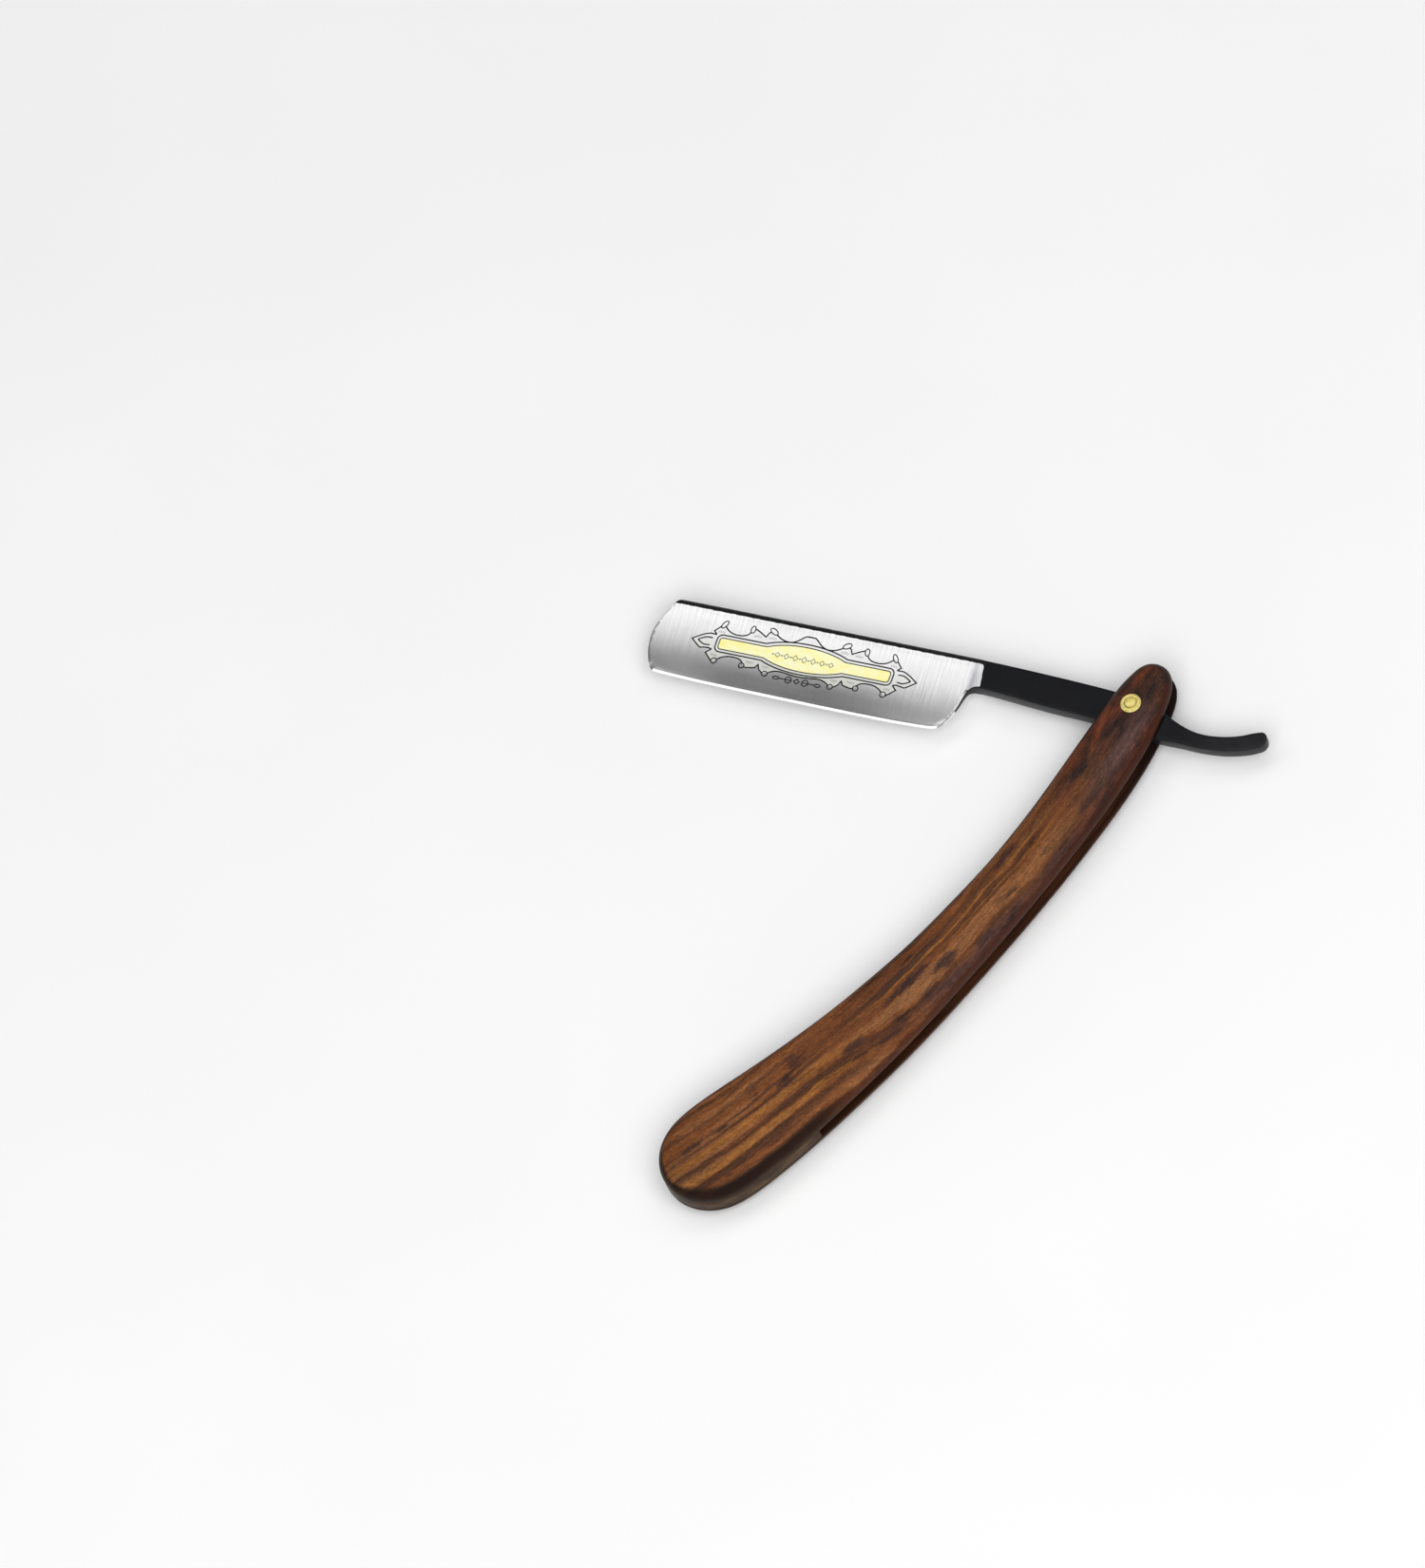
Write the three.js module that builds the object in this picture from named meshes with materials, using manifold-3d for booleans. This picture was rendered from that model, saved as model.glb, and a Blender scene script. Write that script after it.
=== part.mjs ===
// Straight razor, opened part way: a hollow-ground steel blade on a pivot pin
// between two curved wooden scales that are joined by a wedge at the far end.
//
// Millimetres. The origin is on the pivot axis, at the flat centre of the
// lower pin head. +X runs from the pivot to the wedge end along the handle,
// +Z runs up through the pivot pin, and the handle's hollow side faces -Y.

import * as THREE from 'three';
import { mergeVertices } from 'three/addons/utils/BufferGeometryUtils.js';
import Module from 'manifold-3d';

const wasm = await Module();
wasm.setup();

// ---------------------------------------------------------------- dimensions

const MID_Z = 5.95;            // middle plane of the blade and the handle
const GAP_PIVOT = 4.10;        // space between the scales at the pivot
const GAP_WEDGE = 2.90;        // space between the scales at the wedge
const TAPER_X0 = 13.0;         // the scales start to draw together here
const TAPER_X1 = 124.0;        // and run parallel again from here on
const SCALE_T_PIVOT = 2.80;    // scale thickness at the pivot
const SCALE_T_WEDGE = 2.60;    // scale thickness at the wedge end

const BLADE_ANGLE = -66.1;     // degrees from +X to the blade's length, at rest
const SPINE_N = -5.10;         // the blade's spine, across from the pivot
const EDGE_N = 14.86;          // its cutting edge, across from the pivot, where it bows out most
const BEVEL_W = 0.66;          // width of the honed bevel along the edge
const EDGE_T = 0.06;           // thickness left at the edge
const TANG_T_SHANK = 3.50;     // tang thickness at the shank
const TANG_T_PIVOT = 3.30;     // at the pivot
const TANG_T_TAIL = 2.80;      // at the tip of the tail

const PIN_R = 1.20;            // pivot pin shank
const BORE_R = 1.25;           // running bore in the tang
const SCALE_HOLE_R = 1.25;     // hole through each scale
const HEAD_R = 1.42;           // peened head
const HEAD_FLAT_R = 0.62;      // flat at the middle of a head

const WASHER_R = 2.50;         // outer washer, decorative
const WASHER_HOLE_R = 1.26;
const WASHER_SEAT = 0.02;      // seam under an outer washer
const WASHER_T = 0.70;

const INNER_WASHER_R = 3.10;   // bearing washer between tang and scale
const INNER_WASHER_T = 0.30;
const INNER_WASHER_SEAT = 0.02;

// the handle's plan outline: hollow side and bowed side, pivot end first
const HOLLOW_SIDE = [
  [-12.40, -1.60], [-11.90, -3.60], [-10.60, -5.25], [-8.60, -6.20], [-6.00, -6.50],
  [-3.00, -6.55], [0.30, -6.25], [5.90, -5.45], [9.40, -4.88], [13.00, -4.30],
  [18.00, -3.48], [23.70, -2.52], [28.50, -1.76], [33.00, -1.10], [40.00, -0.28], [48.50, 0.44], [55.90, 0.70],
  [63.30, 0.70], [70.80, 0.60], [78.40, 0.25], [84.50, -0.30], [90.80, -1.05],
  [99.10, -2.20], [107.80, -3.80], [116.80, -5.80], [125.90, -8.10], [132.00, -9.75],
  [137.40, -11.05], [142.00, -11.85], [145.80, -12.00], [149.20, -11.40], [152.20, -10.10],
  [154.80, -8.00], [156.80, -5.30], [158.00, -2.10], [158.40, 1.30],
];
const BOWED_SIDE = [
  [-12.40, -1.60], [-12.20, 0.10], [-11.30, 1.90], [-10.00, 3.30], [-8.40, 4.50],
  [-6.40, 5.60], [-3.80, 6.75], [-0.50, 8.00], [2.50, 9.10], [7.10, 10.45],
  [14.00, 12.05], [22.00, 13.50], [31.00, 14.75], [41.20, 15.95], [48.30, 16.60],
  [55.40, 17.15], [62.70, 17.60], [69.80, 17.95], [77.10, 18.25], [84.50, 18.50],
  [91.80, 18.60], [99.40, 18.55], [107.00, 18.30], [114.80, 17.90], [122.50, 17.40],
  [130.50, 16.65], [138.80, 15.55], [143.50, 14.75], [147.80, 13.65], [151.20, 12.30],
  [154.00, 10.40], [156.30, 7.70], [157.80, 4.60], [158.40, 1.30],
];

// a scale's outer edge: [inset from the outline, share of the thickness]
const SCALE_EDGE = [
  [0.00, 0.00], [0.00, 0.16], [0.14, 0.40], [0.48, 0.64], [1.05, 0.84], [1.85, 0.955], [2.80, 1.00],
];

// wedge: starts behind the blade's closed point and is glued between the scales
const WEDGE_X0 = 125.6;
const WEDGE_SEAM = 0.02;
const WEDGE_INSET = 0.10;

// blade outline in its own frame: t along the blade from the pivot,
// n across it from the spine side to the edge side
const BACK_LINE = [
  [-33.90, 1.00], [-33.65, -0.10], [-33.15, -0.80], [-32.30, -1.10], [-30.10, -0.40],
  [-27.70, 0.75], [-23.90, 1.90], [-19.80, 2.45], [-16.10, 2.25], [-12.00, 1.10],
  [-9.00, -0.15], [-5.00, -1.85], [0.00, -3.20], [6.90, -3.90], [15.00, -4.35],
  [24.50, -4.70], [33.00, -4.95], [40.30, -5.08], [46.00, SPINE_N], [80.00, SPINE_N],
  [116.60, SPINE_N], [117.80, -5.04], [118.60, -4.82], [119.20, -4.35], [119.75, -3.55],
  [120.45, -2.40], [121.30, -0.87], [122.12, 0.76], [122.70, 2.45], [122.98, 4.00], [123.05, 5.20],
];
const FRONT_LINE = [
  [-33.90, 1.00], [-33.65, 2.05], [-33.05, 2.75], [-32.05, 3.35], [-30.60, 4.10],
  [-27.30, 5.15], [-23.50, 5.90], [-18.50, 6.20], [-13.60, 6.05], [-8.50, 6.00],
  [-5.00, 5.60], [0.00, 4.90], [9.50, 4.05], [21.50, 3.50], [31.00, 2.75],
  [36.50, 2.35], [39.30, 2.28], [40.70, 2.55], [41.50, 3.10], [42.02, 4.10],
  [42.38, 5.70], [42.72, 7.60], [43.26, 9.55], [43.95, 11.30], [44.60, 12.50],
  [45.25, 13.40], [46.10, 13.98], [47.40, 14.33], [50.00, 14.56], [54.00, 14.72],
  [59.00, 14.82], [66.00, EDGE_N], [73.00, 14.84], [82.00, 14.76], [92.00, 14.68],
  [102.00, 14.56], [109.00, 14.40], [114.00, 14.22], [117.40, 14.06], [118.90, 13.94],
  [119.60, 13.72], [120.25, 13.20], [121.05, 12.15], [121.80, 10.60], [122.45, 8.75],
  [122.88, 6.80], [123.05, 5.20],
];
// blade thickness across: [n, thickness]
const GRIND = [
  [SPINE_N, 3.10], [-4.85, 3.85], [-4.45, 4.25], [-3.75, 4.25], [-3.10, 3.72], [-2.00, 3.08],
  [0.00, 2.32], [2.00, 1.76], [4.00, 1.33], [6.00, 1.00], [8.00, 0.77], [10.00, 0.59],
  [12.00, 0.46], [13.40, 0.38], [EDGE_N, 0.32],
];
const SHOULDER_T0 = 39.2;      // the shank's full section ends here
const SHOULDER_T1 = 42.4;      // and the hollow grind is complete here

// ------------------------------------------------------------------ helpers

const clamp01 = (x) => Math.min(1, Math.max(0, x));
const smooth = (a, b, x) => {
  const s = clamp01((x - a) / (b - a));
  return s * s * (3 - 2 * s);
};

// monotone cubic interpolation of a table of [x, y]
function table(rows) {
  const n = rows.length;
  const h = [], d = [], m = new Array(n);
  for (let i = 0; i < n - 1; i++) {
    h.push(rows[i + 1][0] - rows[i][0]);
    d.push((rows[i + 1][1] - rows[i][1]) / h[i]);
  }
  m[0] = d[0];
  m[n - 1] = d[n - 2];
  for (let i = 1; i < n - 1; i++) {
    if (d[i - 1] * d[i] <= 0) m[i] = 0;
    else {
      const w1 = 2 * h[i] + h[i - 1], w2 = h[i] + 2 * h[i - 1];
      m[i] = (w1 + w2) / (w1 / d[i - 1] + w2 / d[i]);
    }
  }
  return (x) => {
    if (x <= rows[0][0]) return rows[0][1];
    if (x >= rows[n - 1][0]) return rows[n - 1][1];
    let i = 0;
    while (i < n - 2 && x > rows[i + 1][0]) i++;
    const s = (x - rows[i][0]) / h[i];
    const s2 = s * s, s3 = s2 * s;
    return (2 * s3 - 3 * s2 + 1) * rows[i][1] + (s3 - 2 * s2 + s) * h[i] * m[i]
      + (-2 * s3 + 3 * s2) * rows[i + 1][1] + (s3 - s2) * h[i] * m[i + 1];
  };
}

// a smooth side line as a function of x, true through its rounded ends too
function side(points) {
  const curve = new THREE.CatmullRomCurve3(
    points.map((p) => new THREE.Vector3(p[0], p[1], 0)), false, 'centripetal');
  const steps = 1600;
  const line = [];
  for (let i = 0; i <= steps; i++) {
    const p = curve.getPoint(i / steps);
    line.push([p.x, p.y]);
  }
  return (x) => {
    if (x <= line[0][0]) return line[0][1];
    for (let i = 1; i < line.length; i++) {
      if (line[i][0] >= x) {
        const s = (x - line[i - 1][0]) / (line[i][0] - line[i - 1][0] || 1);
        return line[i - 1][1] + s * (line[i][1] - line[i - 1][1]);
      }
    }
    return line[line.length - 1][1];
  };
}

// an indexed geometry from points and triangles
function geometry(points, tris) {
  const g = new THREE.BufferGeometry();
  g.setAttribute('position', new THREE.BufferAttribute(new Float32Array(points.flat()), 3));
  g.setIndex(tris.flat());
  return g;
}

function solid(geo) {
  const g = geo.clone();
  g.deleteAttribute('normal');
  g.deleteAttribute('uv');
  const m = mergeVertices(g, 1e-5);
  return new wasm.Manifold(new wasm.Mesh({
    numProp: 3,
    vertProperties: new Float32Array(m.attributes.position.array),
    triVerts: new Uint32Array(m.index.array),
  }));
}

function fromSolid(man) {
  const mesh = man.getMesh();
  const g = new THREE.BufferGeometry();
  const n = mesh.numProp;
  const count = mesh.vertProperties.length / n;
  const pos = new Float32Array(count * 3);
  for (let i = 0; i < count; i++) {
    for (let k = 0; k < 3; k++) pos[i * 3 + k] = mesh.vertProperties[i * n + k];
  }
  g.setAttribute('position', new THREE.BufferAttribute(pos, 3));
  g.setIndex([...mesh.triVerts]);
  return g;
}

// an upright cylinder on the pivot axis, used to bore the holes
function drill(radius, z0, z1, segments) {
  const g = new THREE.CylinderGeometry(radius, radius, z1 - z0, segments);
  g.rotateX(Math.PI / 2);
  g.translate(0, 0, (z0 + z1) / 2);
  return solid(g);
}

const standard = (color, roughness, metalness) =>
  new THREE.MeshStandardMaterial({ color, roughness, metalness });

// ------------------------------------------------------------------- scales

const hollowY = side(HOLLOW_SIDE);
const bowedY = side(BOWED_SIDE);
const HANDLE_X0 = HOLLOW_SIDE[0][0];
const HANDLE_X1 = HOLLOW_SIDE[HOLLOW_SIDE.length - 1][0];

const halfGap = (x) => 0.5 * (GAP_PIVOT
  + (GAP_WEDGE - GAP_PIVOT) * clamp01((x - TAPER_X0) / (TAPER_X1 - TAPER_X0)));
const scaleT = (x) => SCALE_T_PIVOT
  + (SCALE_T_WEDGE - SCALE_T_PIVOT) * clamp01((x - TAPER_X0) / (TAPER_X1 - TAPER_X0));

// stations along the handle, close together in the rounded ends
function stations(x0, x1, flat0, flat1, endSteps, middle) {
  const xs = [];
  for (let i = 1; i <= endSteps; i++) {
    xs.push(x0 + (flat0 - x0) * (1 - Math.cos((i / endSteps) * Math.PI / 2)));
  }
  xs.push(...middle);
  for (let i = endSteps; i >= 1; i--) {
    xs.push(x1 - (x1 - flat1) * (1 - Math.cos((i / endSteps) * Math.PI / 2)));
  }
  return xs;
}

// closed outline of the handle: the tip of each end and a pair of points
// at every station
function outline(xs, tip0, tip1) {
  const left = xs.map((x) => [x, hollowY(x)]);
  const right = xs.map((x) => [x, bowedY(x)]);
  return [tip0, ...left, tip1, ...right.reverse()];
}

// outward normals of a closed outline that runs from the pivot tip along
// the hollow side to the wedge tip and back along the bowed side
function insetBy(loop, amount) {
  const n = loop.length;
  return loop.map((p, i) => {
    const a = loop[(i + n - 1) % n], b = loop[(i + 1) % n];
    const u = new THREE.Vector2(p[0] - a[0], p[1] - a[1]).normalize();
    const v = new THREE.Vector2(b[0] - p[0], b[1] - p[1]).normalize();
    const t = u.add(v).normalize();
    return [p[0] - t.y * amount, p[1] + t.x * amount];
  });
}

// strips of triangles that cap a paired outline, facing up
function capTris(base, pairs) {
  const tris = [];
  const total = 2 * pairs + 2;
  const L = (i) => base + 1 + i;
  const R = (i) => base + total - 1 - i;
  tris.push([base, L(0), R(0)]);
  for (let i = 0; i < pairs - 1; i++) {
    tris.push([L(i), L(i + 1), R(i + 1)], [L(i), R(i + 1), R(i)]);
  }
  tris.push([L(pairs - 1), base + 1 + pairs, R(pairs - 1)]);
  return tris;
}

const SCALE_MIDDLE = [-1, 3.6, 8.4, TAPER_X0, 20, 28, 37, 46, 55, 64, 73, 82, 91, 100, 108.5, 116.5, TAPER_X1, 131, 138];
const scaleXs = stations(HANDLE_X0, HANDLE_X1, -4.2, 143.5, 7, SCALE_MIDDLE);
const scaleLoop = outline(scaleXs, HOLLOW_SIDE[0], HOLLOW_SIDE[HOLLOW_SIDE.length - 1]);

// up = +1 for the upper scale and -1 for the lower one
function makeScale(up) {
  const pairs = scaleXs.length;
  const total = scaleLoop.length;
  const points = [];
  for (const [inset, share] of SCALE_EDGE) {
    const ring = insetBy(scaleLoop, inset);
    ring.forEach((p, i) => {
      const x = scaleLoop[i][0];
      points.push([p[0], p[1], MID_Z + up * (halfGap(x) + share * scaleT(x))]);
    });
  }
  const tris = [];
  for (let r = 0; r < SCALE_EDGE.length - 1; r++) {
    for (let i = 0; i < total; i++) {
      const j = (i + 1) % total;
      const a = r * total + i, b = r * total + j, c = a + total, d = b + total;
      tris.push([a, b, d], [a, d, c]);
    }
  }
  capTris((SCALE_EDGE.length - 1) * total, pairs).forEach((t) => tris.push(t));
  capTris(0, pairs).forEach((t) => tris.push([t[0], t[2], t[1]]));
  const turned = up > 0 ? tris : tris.map((t) => [t[0], t[2], t[1]]);
  return fromSolid(solid(geometry(points, turned)).subtract(drill(SCALE_HOLE_R, -2, 14, 40)));
}

const wood = standard(0x6b4128, 0.42, 0.0);
const frontScale = new THREE.Mesh(makeScale(1), wood.clone());
frontScale.name = 'front_scale';
const backScale = new THREE.Mesh(makeScale(-1), wood.clone());
backScale.name = 'back_scale';

// -------------------------------------------------------------------- wedge

function makeWedge() {
  const xs = stations(WEDGE_X0, HANDLE_X1, WEDGE_X0 + 0.001, 143.5, 7, [131, 138]).filter((x) => x > WEDGE_X0 + 0.01);
  const left = [[WEDGE_X0, hollowY(WEDGE_X0)], ...xs.map((x) => [x, hollowY(x)])];
  const right = [[WEDGE_X0, bowedY(WEDGE_X0)], ...xs.map((x) => [x, bowedY(x)])];
  const tip = HOLLOW_SIDE[HOLLOW_SIDE.length - 1];
  const loop = insetBy([...left, tip, ...right.reverse()], WEDGE_INSET);
  // the inner end is cut in a shallow hollow across the handle
  const shape = new THREE.Shape();
  const first = loop[0], last = loop[loop.length - 1];
  shape.moveTo(first[0], first[1]);
  for (let i = 1; i < loop.length; i++) shape.lineTo(loop[i][0], loop[i][1]);
  shape.quadraticCurveTo((first[0] + last[0]) / 2 + 2.4, (first[1] + last[1]) / 2, first[0], first[1]);
  const height = GAP_WEDGE - 2 * WEDGE_SEAM;
  const g = new THREE.ExtrudeGeometry(shape, { depth: height, bevelEnabled: false, curveSegments: 8 });
  g.translate(0, 0, MID_Z - height / 2);
  return fromSolid(solid(g));
}
const wedge = new THREE.Mesh(makeWedge(), standard(0x4a2c1b, 0.5, 0.0));
wedge.name = 'wedge';

// -------------------------------------------------------------------- blade

const backN = side(BACK_LINE);
const frontN = side(FRONT_LINE);
const grind = table(GRIND);
const tangT = table([[-34, TANG_T_TAIL], [-10, 3.0], [-4.5, TANG_T_PIVOT], [6, TANG_T_PIVOT], [36, TANG_T_SHANK], [42, TANG_T_SHANK]]);

// thickness at a place on the blade; the tang has small chamfers
function thickness(t, n) {
  const lo = backN(t), hi = frontN(t);
  const rim = Math.min(n - lo, hi - n);
  const chamfer = 0.5 * (1 - clamp01(rim / 0.28));
  const tang = tangT(t) - chamfer;
  const bevel = EDGE_T + (0.34 - EDGE_T) * (hi - n) / BEVEL_W;
  const face = THREE.MathUtils.lerp(grind(n), Math.min(grind(n), bevel), smooth(11.9, 12.9, n));
  return THREE.MathUtils.lerp(tang, face, smooth(SHOULDER_T0, SHOULDER_T1, t));
}

const BLADE_TS = [
  -33.82, -33.55, -33.05, -32.25, -31, -29, -26.5, -23.5, -20, -16.5, -13, -9.5, -6, -3, 0, 3.5, 8, 15, 23,
  31, 36, 38.8, 40.1, 40.9, 41.5, 41.9, 42.2, 42.45, 42.7, 42.98, 43.3, 43.7, 44.2, 44.8, 45.5,
  46.4, 48, 52, 60, 70, 80, 90, 100, 109, 114.5, 117.4, 118.6, 119.2, 119.75, 120.4, 121.1, 121.75, 122.3, 122.7, 122.93, 123.02,
];
const BLADE_US = [0, 0.0145, 0.036, 0.072, 0.107, 0.165, 0.26, 0.37, 0.48, 0.6, 0.72, 0.84, 0.93, 0.9666, 1];

function makeBlade() {
  const cols = BLADE_US.length, rows = BLADE_TS.length;
  const points = [];
  for (const face of [1, -1]) {
    for (const t of BLADE_TS) {
      const lo = backN(t), hi = frontN(t);
      for (const u of BLADE_US) {
        const n = lo + u * (hi - lo);
        points.push([t, n, MID_Z + face * 0.5 * thickness(t, n)]);
      }
    }
  }
  const up = (i, j) => i * cols + j;
  const dn = (i, j) => rows * cols + i * cols + j;
  const tris = [];
  for (let i = 0; i < rows - 1; i++) {
    for (let j = 0; j < cols - 1; j++) {
      tris.push([up(i, j), up(i + 1, j), up(i + 1, j + 1)], [up(i, j), up(i + 1, j + 1), up(i, j + 1)]);
      tris.push([dn(i, j), dn(i + 1, j + 1), dn(i + 1, j)], [dn(i, j), dn(i, j + 1), dn(i + 1, j + 1)]);
    }
    tris.push([up(i, 0), dn(i, 0), dn(i + 1, 0)], [up(i, 0), dn(i + 1, 0), up(i + 1, 0)]);
    tris.push([up(i, cols - 1), dn(i + 1, cols - 1), dn(i, cols - 1)], [up(i, cols - 1), up(i + 1, cols - 1), dn(i + 1, cols - 1)]);
  }
  for (let j = 0; j < cols - 1; j++) {
    tris.push([up(0, j), up(0, j + 1), dn(0, j + 1)], [up(0, j), dn(0, j + 1), dn(0, j)]);
    const e = rows - 1;
    tris.push([up(e, j), dn(e, j + 1), up(e, j + 1)], [up(e, j), dn(e, j), dn(e, j + 1)]);
  }
  return fromSolid(solid(geometry(points, tris)).subtract(drill(BORE_R, 0, 12, 40)));
}
const blade = new THREE.Mesh(makeBlade(), standard(0xb9bbbf, 0.28, 1.0));
blade.name = 'blade';
blade.rotation.z = THREE.MathUtils.degToRad(BLADE_ANGLE);

// ------------------------------------------------------------ pin and washers

const OUTER_FACE = GAP_PIVOT / 2 + SCALE_T_PIVOT;      // from the middle plane
const WASHER_FOOT = OUTER_FACE + WASHER_SEAT;
const WASHER_CROWN = WASHER_FOOT + WASHER_T;
const WASHER_DISH = WASHER_FOOT + 0.42;                // where the head is seated
const HEAD_FOOT = WASHER_DISH + 0.02;
const HEAD_TOP = MID_Z;                                // the lower head ends at z = 0

const ring = (rows, segments) => {
  const g = new THREE.LatheGeometry(rows.map((r) => new THREE.Vector2(r[0], r[1])), segments);
  g.rotateX(Math.PI / 2);
  return g;
};

// profile rows are [radius, height]; one that runs the wrong way round is reversed
function turned(rows, segments) {
  let man = solid(ring(rows, segments));
  if (man.volume() <= 0) man = solid(ring([...rows].reverse(), segments));
  return fromSolid(man);
}

function makePin() {
  const h = HEAD_TOP, f = HEAD_FOOT;
  const head = [[HEAD_R, f], [HEAD_R, f + 0.10], [1.30, f + 0.24], [1.02, h - 0.10], [HEAD_FLAT_R, h]];
  const rows = [
    [0, -h], ...head.map(([r, z]) => [r, -z]).reverse(), [PIN_R, -f],
    [PIN_R, f], ...head, [0, h],
  ];
  const g = turned(rows, 36);
  g.translate(0, 0, MID_Z);
  return g;
}
const brass = standard(0xd9c67c, 0.3, 1.0);
const pin = new THREE.Mesh(makePin(), brass.clone());
pin.name = 'pivot_pin';

function makeOuterWasher(up) {
  const rows = [
    [WASHER_HOLE_R, WASHER_FOOT], [WASHER_R, WASHER_FOOT], [WASHER_R, WASHER_FOOT + 0.22],
    [2.38, WASHER_FOOT + 0.42], [2.10, WASHER_CROWN - 0.10], [1.85, WASHER_CROWN],
    [1.64, WASHER_CROWN - 0.03], [1.50, WASHER_DISH], [WASHER_HOLE_R, WASHER_DISH], [WASHER_HOLE_R, WASHER_FOOT],
  ].map(([r, z]) => [r, up * z]);
  const g = turned(rows, 40);
  g.translate(0, 0, MID_Z);
  return g;
}
const frontWasher = new THREE.Mesh(makeOuterWasher(1), brass.clone());
frontWasher.name = 'front_outer_washer';
const backWasher = new THREE.Mesh(makeOuterWasher(-1), brass.clone());
backWasher.name = 'back_outer_washer';

function makeInnerWasher(up) {
  const a = GAP_PIVOT / 2 - INNER_WASHER_SEAT, b = a - INNER_WASHER_T;
  const rows = [
    [WASHER_HOLE_R, b], [INNER_WASHER_R, b], [INNER_WASHER_R, a], [WASHER_HOLE_R, a], [WASHER_HOLE_R, b],
  ].map(([r, z]) => [r, up * z]);
  const g = turned(rows, 36);
  g.translate(0, 0, MID_Z);
  return g;
}
const frontInner = new THREE.Mesh(makeInnerWasher(1), standard(0xcdb566, 0.35, 1.0));
frontInner.name = 'front_inner_washer';
const backInner = new THREE.Mesh(makeInnerWasher(-1), standard(0xcdb566, 0.35, 1.0));
backInner.name = 'back_inner_washer';

// ----------------------------------------------------------------- assembly

const handle = new THREE.Group();
handle.add(backScale, frontScale, wedge, pin, frontWasher, backWasher, frontInner, backInner);

const group = new THREE.Group();
group.add(handle, blade);

export default group;
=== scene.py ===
"""Looks of a straight razor: ground steel blade with a black spine and tang,
a gilt panel and etched scrollwork on its face, and rosewood scales held by a
brass pin.  Lengths in the tables are millimetres in the row frame; every
mesh is made in metres."""

import math

import bmesh
import bpy
import numpy as np
from mathutils import Matrix, Vector
from mathutils.geometry import delaunay_2d_cdt


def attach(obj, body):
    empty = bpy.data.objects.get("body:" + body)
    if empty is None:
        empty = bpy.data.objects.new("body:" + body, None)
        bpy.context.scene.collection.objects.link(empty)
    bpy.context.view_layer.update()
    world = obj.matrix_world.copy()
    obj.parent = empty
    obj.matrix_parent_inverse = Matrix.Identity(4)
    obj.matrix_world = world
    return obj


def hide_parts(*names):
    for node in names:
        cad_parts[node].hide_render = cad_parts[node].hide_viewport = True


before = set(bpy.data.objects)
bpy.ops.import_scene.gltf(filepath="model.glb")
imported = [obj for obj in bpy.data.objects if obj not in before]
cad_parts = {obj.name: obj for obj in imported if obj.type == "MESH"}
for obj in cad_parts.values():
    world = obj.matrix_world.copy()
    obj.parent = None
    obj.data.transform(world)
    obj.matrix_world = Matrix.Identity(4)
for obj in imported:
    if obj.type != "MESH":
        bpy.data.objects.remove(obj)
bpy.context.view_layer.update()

scene = bpy.context.scene

# ------------------------------------------------------------------ dimensions

MID_Z = 5.95
GAP_PIVOT, GAP_WEDGE = 4.10, 2.90
TAPER_X0, TAPER_X1 = 13.0, 124.0
SCALE_T_PIVOT, SCALE_T_WEDGE = 2.80, 2.60
BLADE_ANGLE = math.radians(-66.1)
SPINE_N, EDGE_N = -5.10, 14.86
BEVEL_W, EDGE_T = 0.66, 0.06

HOLLOW_SIDE = [
    (-12.40, -1.60), (-11.90, -3.60), (-10.60, -5.25), (-8.60, -6.20), (-6.00, -6.50),
    (-3.00, -6.55), (0.30, -6.25), (5.90, -5.45), (9.40, -4.88), (13.00, -4.30),
    (18.00, -3.48), (23.70, -2.52), (28.50, -1.76), (33.00, -1.10), (40.00, -0.28),
    (48.50, 0.44), (55.90, 0.70), (63.30, 0.70), (70.80, 0.60), (78.40, 0.25),
    (84.50, -0.30), (90.80, -1.05), (99.10, -2.20), (107.80, -3.80), (116.80, -5.80),
    (125.90, -8.10), (132.00, -9.75), (137.40, -11.05), (142.00, -11.85), (145.80, -12.00),
    (149.20, -11.40), (152.20, -10.10), (154.80, -8.00), (156.80, -5.30), (158.00, -2.10),
    (158.40, 1.30),
]
BOWED_SIDE = [
    (-12.40, -1.60), (-12.20, 0.10), (-11.30, 1.90), (-10.00, 3.30), (-8.40, 4.50),
    (-6.40, 5.60), (-3.80, 6.75), (-0.50, 8.00), (2.50, 9.10), (7.10, 10.45),
    (14.00, 12.05), (22.00, 13.50), (31.00, 14.75), (41.20, 15.95), (48.30, 16.60),
    (55.40, 17.15), (62.70, 17.60), (69.80, 17.95), (77.10, 18.25), (84.50, 18.50),
    (91.80, 18.60), (99.40, 18.55), (107.00, 18.30), (114.80, 17.90), (122.50, 17.40),
    (130.50, 16.65), (138.80, 15.55), (143.50, 14.75), (147.80, 13.65), (151.20, 12.30),
    (154.00, 10.40), (156.30, 7.70), (157.80, 4.60), (158.40, 1.30),
]
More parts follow.
